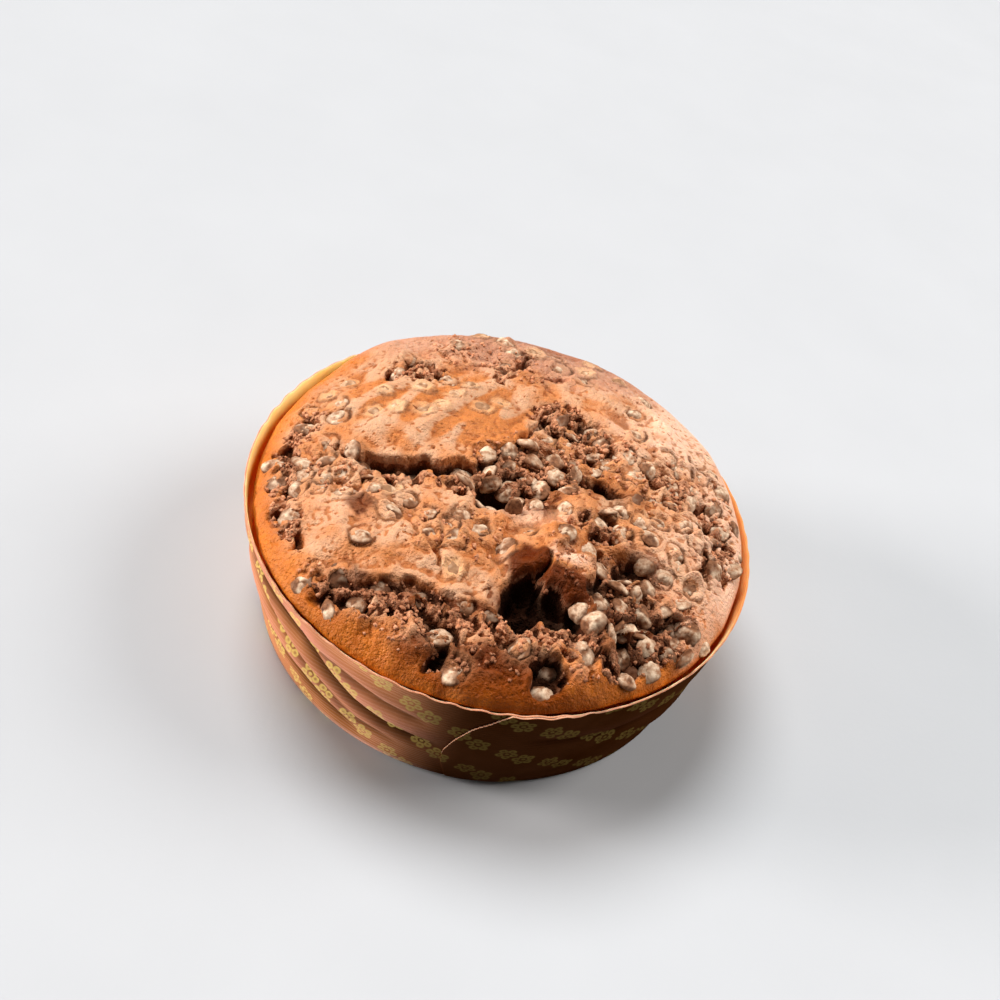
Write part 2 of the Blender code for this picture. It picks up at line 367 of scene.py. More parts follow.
def area_share(x, y, places, ragged=0.0):
    """The strongest amount of several soft oval patches."""
    return np.max([amount * smooth(1.5 - np.hypot((x - cx) / length, (y - cy) / breadth) + ragged)
                   for cx, cy, length, breadth, amount in places], axis=0)


def torn_share(x, y):
    """From 0 on whole skin to 1 where the crumb shows. Small patches of both lie between each other."""
    near = line_share(x, y, TORN, 6.0, 2.0 * hills(x, y, 7.0, 31))
    patches = 0.55 * hills(x, y, 3.4, 32) + 0.5 * hills(x, y, 1.7, 33)
    return smooth((near + patches - 0.55) / 0.3)


# %% The whole skin
def skin_shape(x, y, sx, sy):
    """Height of the whole skin and how golden it is, from its folds, wrinkles, plates and ridges."""
    rumpled = 0.3 + 0.7 * line_share(x, y, RUMPLED, 8.0)
    wrinkles = 0.8 * smooth(1 - abs(hills(sx, sy, 6.5, 7)) / 0.15)
    wrinkles = wrinkles + 0.5 * smooth(1 - abs(hills(sx, sy, 3.4, 8)) / 0.2)
    far_plate = 0.45 * smooth(1.5 - np.hypot((x - 24) / 14, (y - 34) / 10))
    streaked = smooth(1.5 - np.hypot((x + 24) / 24, (y - 17) / 17)) + far_plate
    left_folds = hills(0.9 * x - 0.42 * y, 0.28 * (0.42 * x + 0.9 * y), 5.6, 5)
    right_folds = hills(0.69 * x + 0.73 * y, 0.2 * (0.73 * x - 0.69 * y), 4.2, 5)
    folds = (0.6 + streaked) * np.where(x < 2, left_folds, right_folds)
    rise = 0.9 * hills(x, y, 15.0, 1) + 0.7 * hills(x, y, 8.0, 2) + 0.8 * folds
    rise = rise + rumpled * (0.7 * hills(sx, sy, 4.6, 3) + 0.5 * hills(sx, sy, 2.4, 4))
    rise = rise + (0.2 - 0.13 * smooth(streaked)) * hills(x, y, 1.4, 6)
    rise = rise - rumpled * wrinkles * smooth(0.6 + hills(x, y, 9.0, 9))
    for px, py, length, breadth, turn, height in PLATES:
        turn = math.radians(turn)
        across = (x - px) * math.cos(turn) + (y - py) * math.sin(turn)
        up = (y - py) * math.cos(turn) - (x - px) * math.sin(turn)
        rise = rise + height * smooth(1.7 - 1.25 * np.hypot(across / length, up / breadth))
    ridged = np.zeros(np.shape(x))
    for half_width, height, line in RIDGES:
        share = smooth(1.5 - nearest_on_line(x, y, line)[0] / half_width)
        rise, ridged = rise + height * share, np.maximum(ridged, share)
    gold = 0.3 + 0.25 * streaked + 0.55 * rumpled + 0.9 * ridged
    gold = gold + (1 - smooth(streaked)) * 1.3 * hills(x, y, 7.0, 46)
    gold = gold + streaked * (0.5 * hills(x, y, 9.0, 47) - 0.05 - 3.4 * folds)
    return rise, (1 + 0.7 * smooth(streaked - far_plate)) * smooth(gold)


# %% Cracks, craters and pits
LIP_PUSH = 0.8
LIP_RISE = 0.5


def cracked(x, y, sx, sy, rise):
    """Height with the cracks' lips added, sideways push (x and y) of the lips, and depth of all hollows."""
    depth, push_x, push_y = np.zeros(np.shape(x)), np.zeros(np.shape(x)), np.zeros(np.shape(x))
    for half_width, deep, line in CRACKS.values():
        distance, step_x, step_y, along = nearest_on_line(sx, sy, line)
        reach = half_width * (0.3 + 0.7 * np.sin(np.pi * along) ** 0.6) * (1 + 0.4 * hills(x, y, 5.0, 14))
        sinks = deep * (0.5 + 0.5 * np.sin(np.pi * along) ** 0.7)
        depth = np.maximum(depth, sinks * smooth((reach + 1.3 - distance) / 2.8))
        lip = np.exp(-(((distance - reach - 1.3) / 1.3) ** 2))
        rise = rise + LIP_RISE * lip * smooth(deep / 4)
        push_x, push_y = push_x + LIP_PUSH * lip * step_x, push_y + LIP_PUSH * lip * step_y
    for cx, cy, length, breadth, deep in CRATERS:
        away = np.hypot((sx - cx) / length, (sy - cy) / breadth)
        depth = np.maximum(depth, deep * smooth((1.35 - away) * min(length, breadth) / 3.0))
    pockets = smooth((hills(x, y, 4.2, 48) - 0.15) / 0.25) * line_share(x, y, TORN, 4.0)
    uneven_floor = 0.85 + 0.25 * hills(x, y, 3.2, 16)
    return rise, push_x, push_y, np.maximum(depth * uneven_floor, 2.8 * pockets)


def pits(x, y, size, seed, width, fewest):
    """Small round pits at scattered points, as a share. Points whose own number is low have none."""
    distance, number = pores(x, y, size, seed)
    return smooth(width[0] - distance / width[1]) * (number > fewest)


# %% All of it together
TEAR_SIZES = ((6.0, 1.5), (2.8, 0.9), (1.5, 0.3))


def crust_relief(x, y):
    """Height over the dome, sideways push (x and y), and the depth, torn and golden shares."""
    sx = x + sum(shift * hills(x, y, size, 11) for size, shift in TEAR_SIZES)
    sy = y + sum(shift * hills(x, y, size, 12) for size, shift in TEAR_SIZES)
    rise, gold = skin_shape(x, y, sx, sy)
    rise, push_x, push_y, depth = cracked(x, y, sx, sy, rise)
    torn = np.maximum(torn_share(x, y), smooth((depth - 0.6) / 2.0))
    crumb = 0.7 * hills(x, y, 2.3, 42) + 0.5 * hills(x, y, 1.3, 43)
    crumb = crumb - 1.3 * pits(x, y, 2.3, 41, (1.1, 0.5), 0.4) - 0.7 * pits(x, y, 1.5, 44, (1.1, 0.5), 0.4)
    pinholes = 0.5 * pits(x, y, 3.1, 45, (1.3, 0.13), 0.45)
    rise = rise + torn * (0.8 * crumb - 0.45) - (1 - torn) * pinholes
    return rise - depth, push_x, push_y, np.clip(depth / 5.0, 0, 1), torn, gold


across_middle = crust_relief(np.linspace(-40, 40, 81), np.zeros(81))[0]
print(f"relief across the middle from {across_middle.min():.1f} to {across_middle.max():.1f} mm")


# %% [markdown]
# ## Where the chips lie
# The chips sit in the crust in five ways. Some sank just under the skin, and show as pale rings. Some are
# half sunk, with a gap round them that is darkened with painted shadow, most on the side away from the
# window lamp. Some stand proud, some lie in heaps at any angle, and some lie deep in a crack and are
# darkened with painted shade. The ones that catch the eye are listed one by one, and the rest are scattered
# by chance where they crowd, but not on the spots that stay bare.

# %% Chips that catch the eye
CHIP_RADIUS = (2.5, 3.4)
CHIP_HEIGHT = 0.86
CHIPS = {
    "film": [(-27, 11), (-12.7, 19), (-8.5, 24), (-21, 21.5), (-39, 16), (-39, 6.3), (-34, 9.5),
             (-49.5, 20.5), (-18, 28), (-30, 22), (-7, -37), (-53, 13.5), (-23, 14), (-28, -18), (12, 52)],
    "sunk": [(-47.5, 3), (-41, -16.5), (-49.5, -18.5), (-44.5, -19), (-44.5, -23), (-49.5, -23),
             (-31.8, -20.5), (-26, -26.3), (-22.5, -20.6), (-11.2, -26), (-14.8, -29.8), (-8.2, -29.8),
             (-5.7, -54.3), (-26.4, -51.6), (-39.6, -48.8), (12.2, -52.2), (2.7, 56), (-13, 56),
             (-25, 47.5), (-38, 26), (28.5, 38), (47.7, 29), (39.3, 23), (11.3, 16), (24.6, 13.7),
             (42.3, 11.2), (53.6, 13.2), (2.2, 19.6), (16.7, 24.5), (19.7, 21), (44.2, -11.3),
             (45.7, -14.7), (29, -3.9), (14.7, -10.3), (55.5, 21.5), (59, 17.5), (0, -60.8), (49.6, -33.9),
             (54, 2)],
    "proud": [(-47, -7), (-51, -13), (-58.6, -14.3), (-33.8, -15.5), (-47.6, -32.2), (-29.8, -35.3),
              (-2.8, -45.4), (-31.8, -54.8), (7.4, -3.9), (42, -39.4), (56.6, -29.6), (34.4, -22.4),
              (29, -32), (37.3, -27.5), (39.5, -24.6), (43.7, -27.5), (39.3, -31.6), (36.6, -42.6),
              (19.9, -58.2), (32.4, -42), (51, -30.7), (35.7, -36.9), (2.5, -28), (60.3, -4.5),
              (56.5, -9.3), (16.2, -21.2), (22.6, -20.2)],
    "heap": [(-40.7, -8.5), (-35, -11.5), (-37.8, -10), (-31.5, -11.8), (-14.8, -8.3), (-10.5, -9),
             (34, -38.5), (39.3, -36.6), (39, -48), (25.3, -5.5), (-12, -5.5), (27.3, -23.8), (52, -36.5)],
    "dark": [(-26, -9.5), (-19, -7.5), (-31, -45.8), (-22, -46), (-12, -45.2), (4, -46), (0, -11),
             (27, 2.5), (32, 1.8), (25, -22), (29, -31), (41, -34.5), (47, -31), (39, -45.2), (8, 24),
             (20.3, -53.6)],
}
print(sum(len(places) for places in CHIPS.values()), "chips by hand")

# %% Where the others crowd
CROWDS = [  # kind, chips, middle, half-length, half-breadth
    ("proud", 20, (2, 0), 13, 11), ("heap", 8, (0, -9), 8, 7), ("proud", 18, (37, -31), 13, 13),
    ("heap", 13, (36, -38), 12, 9), ("sunk", 18, (56, 2), 7, 16), ("sunk", 13, (53, 18), 8, 10),
    ("sunk", 14, (40, 14), 11, 9), ("sunk", 12, (-46, -16), 11, 10), ("film", 4, (0, 56), 34, 5),
    ("sunk", 13, (16, 15), 12, 10), ("sunk", 12, (46, -12), 10, 12),
    ("proud", 1, (14, -48), 16, 4), ("proud", 8, (48, -38), 9, 8), ("sunk", 9, (-50, 8), 7, 16),
    ("sunk", 7, (-12, -27), 10, 7), ("sunk", 6, (30, -6), 10, 7), ("sunk", 10, (6, 4), 56, 56),
]
BARE = [  # x, y, radius: where no chip is scattered
    (10.5, -39.0, 7.0), (9.5, -27.5, 5.0), (21, -30, 6.5), (32, -47.5, 4.0), (-38, -31, 9.0), (-22, -35, 9.0),
    (-30, -38, 8.0), (8, -33, 4.0),
]
WHOLE_PLATE = (-26, 13, 24, 15)  # x, y, half-length, half-breadth: has no scattered chip either
NEAREST = {"film": 6.2, "sunk": 5.2, "proud": 4.8, "heap": 4.0, "dark": 4.0}
CHIP_TRIES = 40
CHIP_LIMIT = 0.94 * RIM_RADIUS
print(sum(crowd[1] for crowd in CROWDS), "more at most, in", len(CROWDS), "crowds")


# %% Scatter the rest among them
def place_chips(seed=5):
    """Every chip as (kind, x, y, radius)."""
    chance = np.random.default_rng(seed)
    placed = [(kind, x, y, chance.uniform(*CHIP_RADIUS)) for kind, places in CHIPS.items() for x, y in places]
    px, py, plate_length, plate_breadth = WHOLE_PLATE
    for kind, count, (cx, cy), length, breadth in CROWDS:
        for _ in range(count):
            for _ in range(CHIP_TRIES):
                turn, far = chance.uniform(0, 2 * np.pi), chance.uniform(0, 1) ** 0.5
                x, y = cx + length * far * math.cos(turn), cy + breadth * far * math.sin(turn)
                room = min(math.hypot(x - p[1], y - p[2]) for p in placed)
                on_plate = math.hypot((x - px) / plate_length, (y - py) / plate_breadth) < 1
                clear = all(math.dist((x, y), spot[:2]) > spot[2] for spot in BARE) and not on_plate
                if clear and room > NEAREST[kind] and math.hypot(x, y) < CHIP_LIMIT:
                    placed.append((kind, x, y, chance.uniform(*CHIP_RADIUS)))
                    break
    return placed


chips = place_chips()
print(len(chips), "chips:", {kind: sum(chip[0] == kind for chip in chips) for kind in NEAREST})


# %% [markdown]
# ## The crust
# The crust is a fine square grid pressed into a disc, so that its faces have nearly one size from the
# middle to the rim. Each point is lifted to the dome and then by the relief. A ring round each chip shapes
# the socket or the film over it. Below the edge the mesh runs down inside the case and closes, because the
# cake is one solid piece.

# %% The grid, as a disc
GRID = 300
EDGE_CROWDING = 1.25


def disc_grid(count):
    """Square grid mapped to the unit disc, with points closer together near the rim."""
    line = np.linspace(-1, 1, count + 1)
    a, b = np.meshgrid(line, line)
    wide = abs(a) >= abs(b)
    safe_a, safe_b = np.where(a == 0, 1e-9, a), np.where(b == 0, 1e-9, b)
    azimuth = np.where(wide, np.pi / 4 * b / safe_a, np.pi / 2 - np.pi / 4 * a / safe_b)
    radius = np.where(wide, a, b)
    azimuth = np.where(radius < 0, azimuth + np.pi, azimuth)
    reach = 1 - (1 - abs(radius)) ** EDGE_CROWDING
    return reach, azimuth


print(GRID * GRID, "faces over the crust")


# %% Points of the crust
SOCKETS = {  # depth of the gap, height of the ring, strength of the gap's painted shadow, how pale the film is
    "film": (0.3, 0.5, 0.5, 1.0), "sunk": (0.8, 0.3, 0.8, 0.25), "proud": (0.6, 0.15, 0.8, 0.0),
    "heap": (0.0, 0.0, 0.4, 0.0), "dark": (0.0, 0.0, 0.5, 0.0),
}
SKIRTS = {"film": 0.6, "sunk": 2.4, "proud": 1.7, "heap": 0.0, "dark": 0.0}


def chip_socket(kind, distance, radius):
    """Height that a chip adds to the crust round it, how pale its film is and how strong its gap's painted
    shadow is.
    """
    share = distance / radius
    moat_deep, raised, dark, pale = SOCKETS[kind]
    middle, width = (0.85, 0.2) if kind == "film" else (1.18, 0.24)
    moat = np.exp(-(((share - (0.92 if kind == "sunk" else 1.04)) / 0.17) ** 2))
    lift = raised * np.exp(-(((share - middle) / width) ** 2)) - moat_deep * moat
    film = pale * np.exp(-((share / (0.95 if kind == "film" else 1.4)) ** 4))
    return lift, film, dark * moat


def on_dome(reach, azimuth, relief):
    """Height of the dome with the relief on it, which fades out at the edge."""
    shoulder = shoulder_height(azimuth)
    dome = np.sqrt(np.clip(1 - reach ** DOME_POWER, 0, 1))
    return shoulder + (DOME_HEIGHT - shoulder) * dome + relief * smooth((1 - reach) * EDGE_FADE)


def crust_points(reach, azimuth):
    """Points of the crust in millimetres, with its depth, torn and film shares."""
    x, y = reach * crust_radius(azimuth) * np.cos(azimuth), reach * crust_radius(azimuth) * np.sin(azimuth)
    relief, push_x, push_y, depth, torn, gold = crust_relief(x, y)
    film, shade = np.zeros(np.shape(x)), np.zeros(np.shape(x))
    ragged, patchy, skirt = hills(x, y, 1.8, 61), hills(x, y, 3.5, 62), np.clip(hills(x, y, 3.6, 63), 0, 1)
    # Painted shadow: each chip's gap is darkest on one side, mostly the side away from the window lamp.
    gap_sides = np.random.default_rng(9).uniform(-2.0, 0.4, len(chips))
    for (kind, cx, cy, radius), gap_side in zip(chips, gap_sides):
        near = np.hypot(x - cx, y - cy) < 2 * radius
        distance = np.hypot(x - cx, y - cy)[near] + (0.9 if kind == "film" else 0.45) * ragged[near]
        lift, pale, dark = chip_socket(kind, distance, radius)
        open_side = 0.5 + 0.5 * np.cos(np.arctan2(y - cy, x - cx)[near] - gap_side)
        foot = np.exp(-((distance / radius - 0.9) / 0.35) ** 2)
        climb = SKIRTS[kind] * (1.2 - open_side) * skirt[near] * foot
        relief[near] += lift * (0.4 + 0.7 * open_side + 0.4 * patchy[near]) + climb
        dark = dark * np.clip(0.3 + open_side - climb, 0, 1)
        film[near] = np.maximum(film[near], pale * np.clip(1.0 + 0.6 * patchy[near], 0, 1))
        shade[near] = np.maximum(shade[near], dark * np.clip(0.8 + 0.9 * patchy[near], 0, 1))
    calm = smooth((1 - reach) * EDGE_FADE)
    points = np.stack([x + push_x * calm, y + push_y * calm, on_dome(reach, azimuth, relief)], axis=-1)
    # Browned places with painted shade, dry places with painted sheen, and the duller places.
    browned_shaded, dry_sheen, dusky = (area_share(x, y, places, 0.3 * patchy) for places in (BROWNED_AND_SHADED, DRY_AND_SHEEN, DUSKY))
    return points, {"deep": depth * calm, "torn": torn * calm, "film": film * calm, "shade": shade * calm,
                    "browned_shaded": browned_shaded, "dry_sheen": dry_sheen, "dusky": dusky, "gold": gold, "reach": reach}


reach, azimuth = disc_grid(GRID)
crust, crust_numbers = crust_points(reach, azimuth)
print(f"crust from {crust[..., 2].min():.1f} to {crust[..., 2].max():.1f} mm high")


# %% [markdown]
# The material browns hollows and folds, partly as real browning and partly as painted shade, and keeps the
# tops of the plates pale. Blurring the height and taking the difference finds the hollows, at two scales,
# and both are stored for the material.

# %% Find the hollows
def blurred(values, radius):
    """Mean over a square of (2 * radius + 1) points a side."""
    for axis in (0, 1):
        padded = np.pad(values, [(radius + 1, radius) if a == axis else (0, 0) for a in (0, 1)], mode="edge")
        total = np.cumsum(padded, axis=axis)
        width = 2 * radius + 1
        values = (np.take(total, range(width, total.shape[axis]), axis) -
                  np.take(total, range(0, total.shape[axis] - width), axis)) / width
    return values


FINE_BLUR = 3
BROAD_BLUR = 13
HOLLOW_RANGE = 0.9
VALLEY_RANGE = 3.5
surface = crust[..., 2]
# Both numbers darken the crust's colour in its hollows: painted shade, partly real browning.
crust_numbers["hollow"] = np.clip(0.5 + (blurred(surface, FINE_BLUR) - surface) / HOLLOW_RANGE, 0, 1)
crust_numbers["valley"] = np.clip(0.5 + (blurred(surface, BROAD_BLUR) - surface) / VALLEY_RANGE, 0, 1)
print(f"mean hollow {crust_numbers['hollow'].mean():.2f}, mean valley {crust_numbers['valley'].mean():.2f}")

# %% Close the cake below the crust
CAKE_FOOT = PAPER + 0.4
SIDE_INSET = 3.2
SIDE_RINGS = [  # share of the height, inset from the paper
    (0.97, 1.2), (0.93, SIDE_INSET), (0.5, SIDE_INSET), (0.08, SIDE_INSET), (0.0, BASE_CORNER),
]
side = GRID + 1
edge = grid_border(side, side)
edge_azimuth = azimuth.ravel()[edge]
edge_height = shoulder_height(edge_azimuth)
rings = []
for share, inset in SIDE_RINGS:
    height = CAKE_FOOT + (edge_height - CAKE_FOOT) * share
    radius = np.minimum(wall_radius(height) - PAPER - inset, crust_radius(edge_azimuth) - min(inset, 1.0))
    rings.append(round_axis(radius, edge_azimuth, height))
points = np.concatenate([crust.reshape(-1, 3), *rings])
first = side * side
loops = [edge] + [first + len(edge) * k + np.arange(len(edge)) for k in range(len(rings))]
faces = grid_faces(side, side)
for upper, lower in zip(loops, loops[1:]):
    faces += np.stack([upper, lower, np.roll(lower, -1), np.roll(upper, -1)], axis=1).tolist()
faces.append(loops[-1][::-1].tolist())
below = {"deep": 0.0, "torn": 0.3, "film": 0.0, "shade": 0.0, "browned_shaded": 0.2, "dry_sheen": 0.0, "dusky": 0.0,
         "gold": 0.5, "reach": 1.0, "hollow": 0.6, "valley": 0.6}
numbers = {label: np.concatenate([values.ravel(), np.full(len(points) - first, below[label])])
           for label, values in crust_numbers.items()}
cake = mesh_piece("cake_body", points, faces, numbers)
print("cake_body:", len(cake.data.vertices), "points")


# %% [markdown]
# ## The chocolate chips
# A baking chip is a drop with a flat foot. In the oven it slumps, and keeps a few rings from how it was
# poured. Each chip is a turned outline, between one with clear rings and a slumped one, then dented, bent
# and tilted by chance. All of them are one mesh, so that the cake stays light to handle.

# %% One chip
CHIP_SIDES = 24
CHIP_OUTLINE = [  # share of the radius, share of the height
    (0.0, 0.0), (0.75, 0.0), (0.94, 0.06), (1.0, 0.2), (0.98, 0.34), (0.9, 0.46), (0.78, 0.53),
    (0.68, 0.58), (0.62, 0.65), (0.57, 0.75), (0.48, 0.86), (0.34, 0.94), (0.16, 0.99), (0.0, 1.0),
]
SLUMPED = [
    (0.0, 0.0), (0.78, 0.0), (0.95, 0.07), (1.0, 0.22), (0.98, 0.38), (0.92, 0.53), (0.83, 0.66),
    (0.73, 0.75), (0.62, 0.83), (0.5, 0.89), (0.38, 0.94), (0.25, 0.97), (0.12, 0.99), (0.0, 1.0),
]
DENTS = 14
DENT_WIDTH = 0.07
# Painted light and shade on each chip: paler toward its top, darker toward its foot.
RING_LIGHT_SHADE = [0.0, 0.0, 0.0, 0.1, 0.3, 0.5, 0.6, 0.6, 0.65, 0.7, 0.75, 0.8, 0.8, 0.8]


def chip_points(chance, radius):
    """Points of one chip about the middle of its foot, in millimetres, and how pale each is by painted light
    and shade.
    """
    turn = np.linspace(0, 2 * np.pi, CHIP_SIDES, endpoint=False)
    slumped = chance.uniform(0.0, 0.75)
    outline = (1 - slumped) * np.array(CHIP_OUTLINE) + slumped * np.array(SLUMPED)
    across = outline[:, :1] * (1 + 0.05 * np.sin(2 * turn + chance.uniform(0, 6)) * chance.uniform(0.3, 1.6))
    swell = 0.05 * np.sin(3 * turn + chance.uniform(0, 6)) + 0.03 * np.sin(7 * turn + 4 * outline[:, 1:])
    across = across * (1 + swell + 0.04 * chance.uniform(-1, 1, across.shape) * (outline[:, 1:] > 0.1))
    up = outline[:, 1:] * CHIP_HEIGHT * chance.uniform(0.55, 1.0)
    up = up * (1 + 0.06 * np.sin(turn + chance.uniform(0, 6)))
    lean = chance.uniform(-0.22, 0.22, 2)
    broad = chance.uniform(0.82, 1.15, 2)
    points = np.stack([broad[0] * across * np.cos(turn) + lean[0] * up ** 2,
                       broad[1] * across * np.sin(turn) + lean[1] * up ** 2, up], -1)
    middle = np.array([0, 0, 0.3 * CHIP_HEIGHT])
    way = (points - middle) / np.maximum(np.linalg.norm(points - middle, axis=-1, keepdims=True), 1e-6)
    pale = np.array(RING_LIGHT_SHADE)[:, None] + 0.25 * np.sin(2 * turn + chance.uniform(0, 6))
    for _ in range(DENTS):
        dent = chance.normal(size=3)
        dent[2] = abs(dent[2]) + 0.2
        hit = chance.uniform(-0.09, 0.14) * np.exp(-(1 - way @ (dent / np.linalg.norm(dent))) / DENT_WIDTH)
        points = middle + (points - middle) * (1 - hit[..., None])
        # Painted shade: each dent darkens the chip there.
        pale = pale - 3.5 * hit
    return radius * points, pale


print(CHIP_SIDES * (len(CHIP_OUTLINE) - 1), "faces on each chip")


# %% Tilt it
def tilt(chance, most):
    """Rotation that leans a chip by up to `most` degrees, and spins it."""
    spin = Matrix.Rotation(chance.uniform(0, 2 * np.pi), 3, "Z")
    toward = chance.uniform(0, 2 * np.pi)
    hinge = Vector((math.cos(toward), math.sin(toward), 0))
    return np.array(Matrix.Rotation(math.radians(most) * chance.uniform(0.2, 1), 3, hinge) @ spin)


# %% Set every chip in the crust
FILM_DULLS = 0.45
CHIP_REST = 2.2
SUNK = {"film": 0.62, "sunk": 0.64, "proud": 0.48, "heap": 0.2, "dark": 0.66}
MOST_TILT = {"film": 8, "sunk": 26, "proud": 40, "heap": 78, "dark": 35}


def crust_height(x, y):
    """Height of the crust at one place, without the sockets."""
    azimuth = np.arctan2(y, x)
    reach = np.clip(np.hypot(x, y) / crust_radius(azimuth), 0, 1)
    return on_dome(reach, azimuth, crust_relief(x, y)[0])


def chip_bed(chance):
    """All chips: their points, faces and numbers."""
    x, y = np.array([c[1] for c in chips]), np.array([c[2] for c in chips])
    ring = np.linspace(0, 2 * np.pi, 8, endpoint=False)[:, None]
    around = crust_height(x + CHIP_REST * np.cos(ring), y + CHIP_REST * np.sin(ring))
    ground = np.maximum(np.median(around, axis=0), crust_height(x, y) - 0.5)
    slope_x = (around * np.cos(ring)).sum(0) / (4 * CHIP_REST)
    slope_y = (around * np.sin(ring)).sum(0) / (4 * CHIP_REST)
    parts = []
    for (kind, cx, cy, radius), level, sx, sy in zip(chips, ground, slope_x, slope_y):
        shape, pale = chip_points(chance, radius)
        upright = Vector((-sx, -sy, 1.0)).normalized()
        flat = np.array(Vector((0, 0, 1)).rotation_difference(upright).to_matrix())
        turned = (shape - [0, 0, radius * 0.4]) @ (flat @ tilt(chance, MOST_TILT[kind])).T
        turned += [cx, cy, level + radius * 0.4 - SUNK[kind] * CHIP_HEIGHT * radius]
        parts.append((turned, {"tint": chance.uniform(0, 1), "film": float(kind == "film"),
                               "dark": float(kind == "dark"), "pale": pale - FILM_DULLS * (kind == "film")}))
    return joined(parts)


chip_mesh = mesh_piece("chocolate_chips", *chip_bed(np.random.default_rng(8)))
print("chocolate_chips:", len(chip_mesh.data.polygons), "faces")


# %% [markdown]
# ## Crumbs
# Where the skin tore, small bits of baked batter stick out. They are rough grains, most of them half a
# millimetre to a millimetre and a half across, and darker deep in the cracks and in the browned places,
# partly by real browning and partly by painted shade. Like the chips, they are one joined mesh.

# %% Grains of crumb
CRUMBS = 1900
CRUMB_TRIES = 40000
CRUMB_RADIUS = (0.2, 0.8)
CRUMB_SIDES = 7
CRUMB_LIMIT = 0.93 * RIM_RADIUS


def crumb_bed(chance):
    """Grains on the torn parts of the crust."""
    turn, far = chance.uniform(0, 2 * np.pi, CRUMB_TRIES), chance.uniform(0, 1, CRUMB_TRIES) ** 0.5
    x, y = CRUMB_LIMIT * far * np.cos(turn), CRUMB_LIMIT * far * np.sin(turn)
    relief = crust_relief(x, y)
    loose = np.maximum(relief[4], 0.55 * line_share(x, y, RUMPLED, 6.0)) * (relief[3] < 0.5)
    keep = loose > chance.uniform(0.35, 1.0, CRUMB_TRIES)
    # Painted shade, partly real browning: grains deep in cracks and in the browned places are darker.
    x, y, dim = x[keep][:CRUMBS], y[keep][:CRUMBS], 1.5 * relief[3][keep][:CRUMBS]
    level, dim = crust_height(x, y), np.maximum(dim, area_share(x, y, BROWNED_AND_SHADED) - 0.2)
    around = np.linspace(0, 2 * np.pi, CRUMB_SIDES, endpoint=False)
    rise = np.array([0.0, 0.35, 0.75, 1.0])
    width = np.array([0.05, 0.85, 0.8, 0.05])
    parts = []
    for cx, cy, cz, low in zip(x, y, level, dim):
        size = chance.uniform(*CRUMB_RADIUS)
        knobs = chance.uniform(0.3, 1.6, (len(rise), len(around)))
        shape = np.stack([width[:, None] * np.cos(around) * knobs, width[:, None] * np.sin(around) * knobs,
                          (rise[:, None] - 0.5) * np.ones_like(around) * 1.5], -1) * size
        shape = shape @ tilt(chance, 90).T + [cx, cy, cz + 0.1 * size]
        parts.append((shape, {"tint": max(chance.uniform(0, 0.8), low)}))
    return joined(parts)


crumbs = mesh_piece("crust_crumbs", *crumb_bed(np.random.default_rng(21)))
print("crust_crumbs:", len(crumbs.data.polygons), "faces")


# %% [markdown]
# ## The paper case
# The case is a strip of ribbed baking paper, wrapped into a tapered wall and closed by a flat foot. Its rim
# is cut in shallow scallops, the heat has drawn creases round it, and one end of the strip laps over the
# other in front. The wall is a grid of rings fine enough for the ribs, each about a millimetre apart. The
# strip starts and ends under its own lap, so that the print has no break anywhere else.

# %% Creases, ribs and scallops
SCALLOPS = 60
SCALLOP_DEPTH = 0.8
RIB_PITCH = 1.05
RIB_DEPTH = 0.07
CREASES = [  # depth, half-width, line of azimuth and height
    (1.15, 2.7, [(208, 34), (236, 31), (244, 24.5), (250, 20), (258, 17), (276, 15)]),
    (1.05, 2.5, [(200, 22), (222, 14), (235, 12), (254, 5)]),
    (0.8, 1.7, [(206, 31), (226, 24), (240, 18), (252, 12), (266, 9)]),
    (0.8, 1.5, [(230, 34), (246, 31.5), (258, 28), (270, 26)]),
    (0.6, 1.8, [(150, 26), (175, 24), (196, 27), (212, 29)]),
    (0.6, 1.6, [(286, 27), (306, 24), (332, 26)]),
    (0.7, 1.5, [(318, 13), (345, 11), (370, 15)]),
    (0.6, 1.6, [(10, 29), (38, 26), (60, 30), (82, 27)]),
    (0.7, 1.5, [(52, 12), (84, 15), (110, 10), (136, 13)]),
]
print(SCALLOPS, "scallops and", len(CREASES), "creases")

# %% The paper's form
WALL_MIDDLE = 64.0
STRIP_START = math.radians(295.0 - 360.0)
# Azimuths in degrees of the front stretch of wall that takes painted shade.
SHADED_FRONT = (263.0, 352.0)
AMBER = (-20.0, 90.0)


def rim_height(azimuth):
    """Height of the scalloped cut along the rim."""
    cut = 0.5 - 0.5 * np.cos(SCALLOPS * azimuth + 1.5 * np.sin(5 * azimuth))
    worn = 0.35 + 0.65 * smooth(0.5 - 0.9 * np.sin(azimuth + 0.4))
    return RIM_HEIGHT - SCALLOP_DEPTH * worn * (0.75 + 0.25 * np.sin(11 * azimuth)) * cut - 0.25 * (1 - worn)


def paper_hills(azimuth, height, size, seed):
    """Rolling noise on the wall that meets itself again after one whole turn."""
    share = azimuth / (2 * np.pi) % 1
    once = 2 * np.pi * WALL_MIDDLE
    here, again = (hills(place * once, height, size, seed) for place in (share, share - 1))
    return (1 - share) * here + share * again


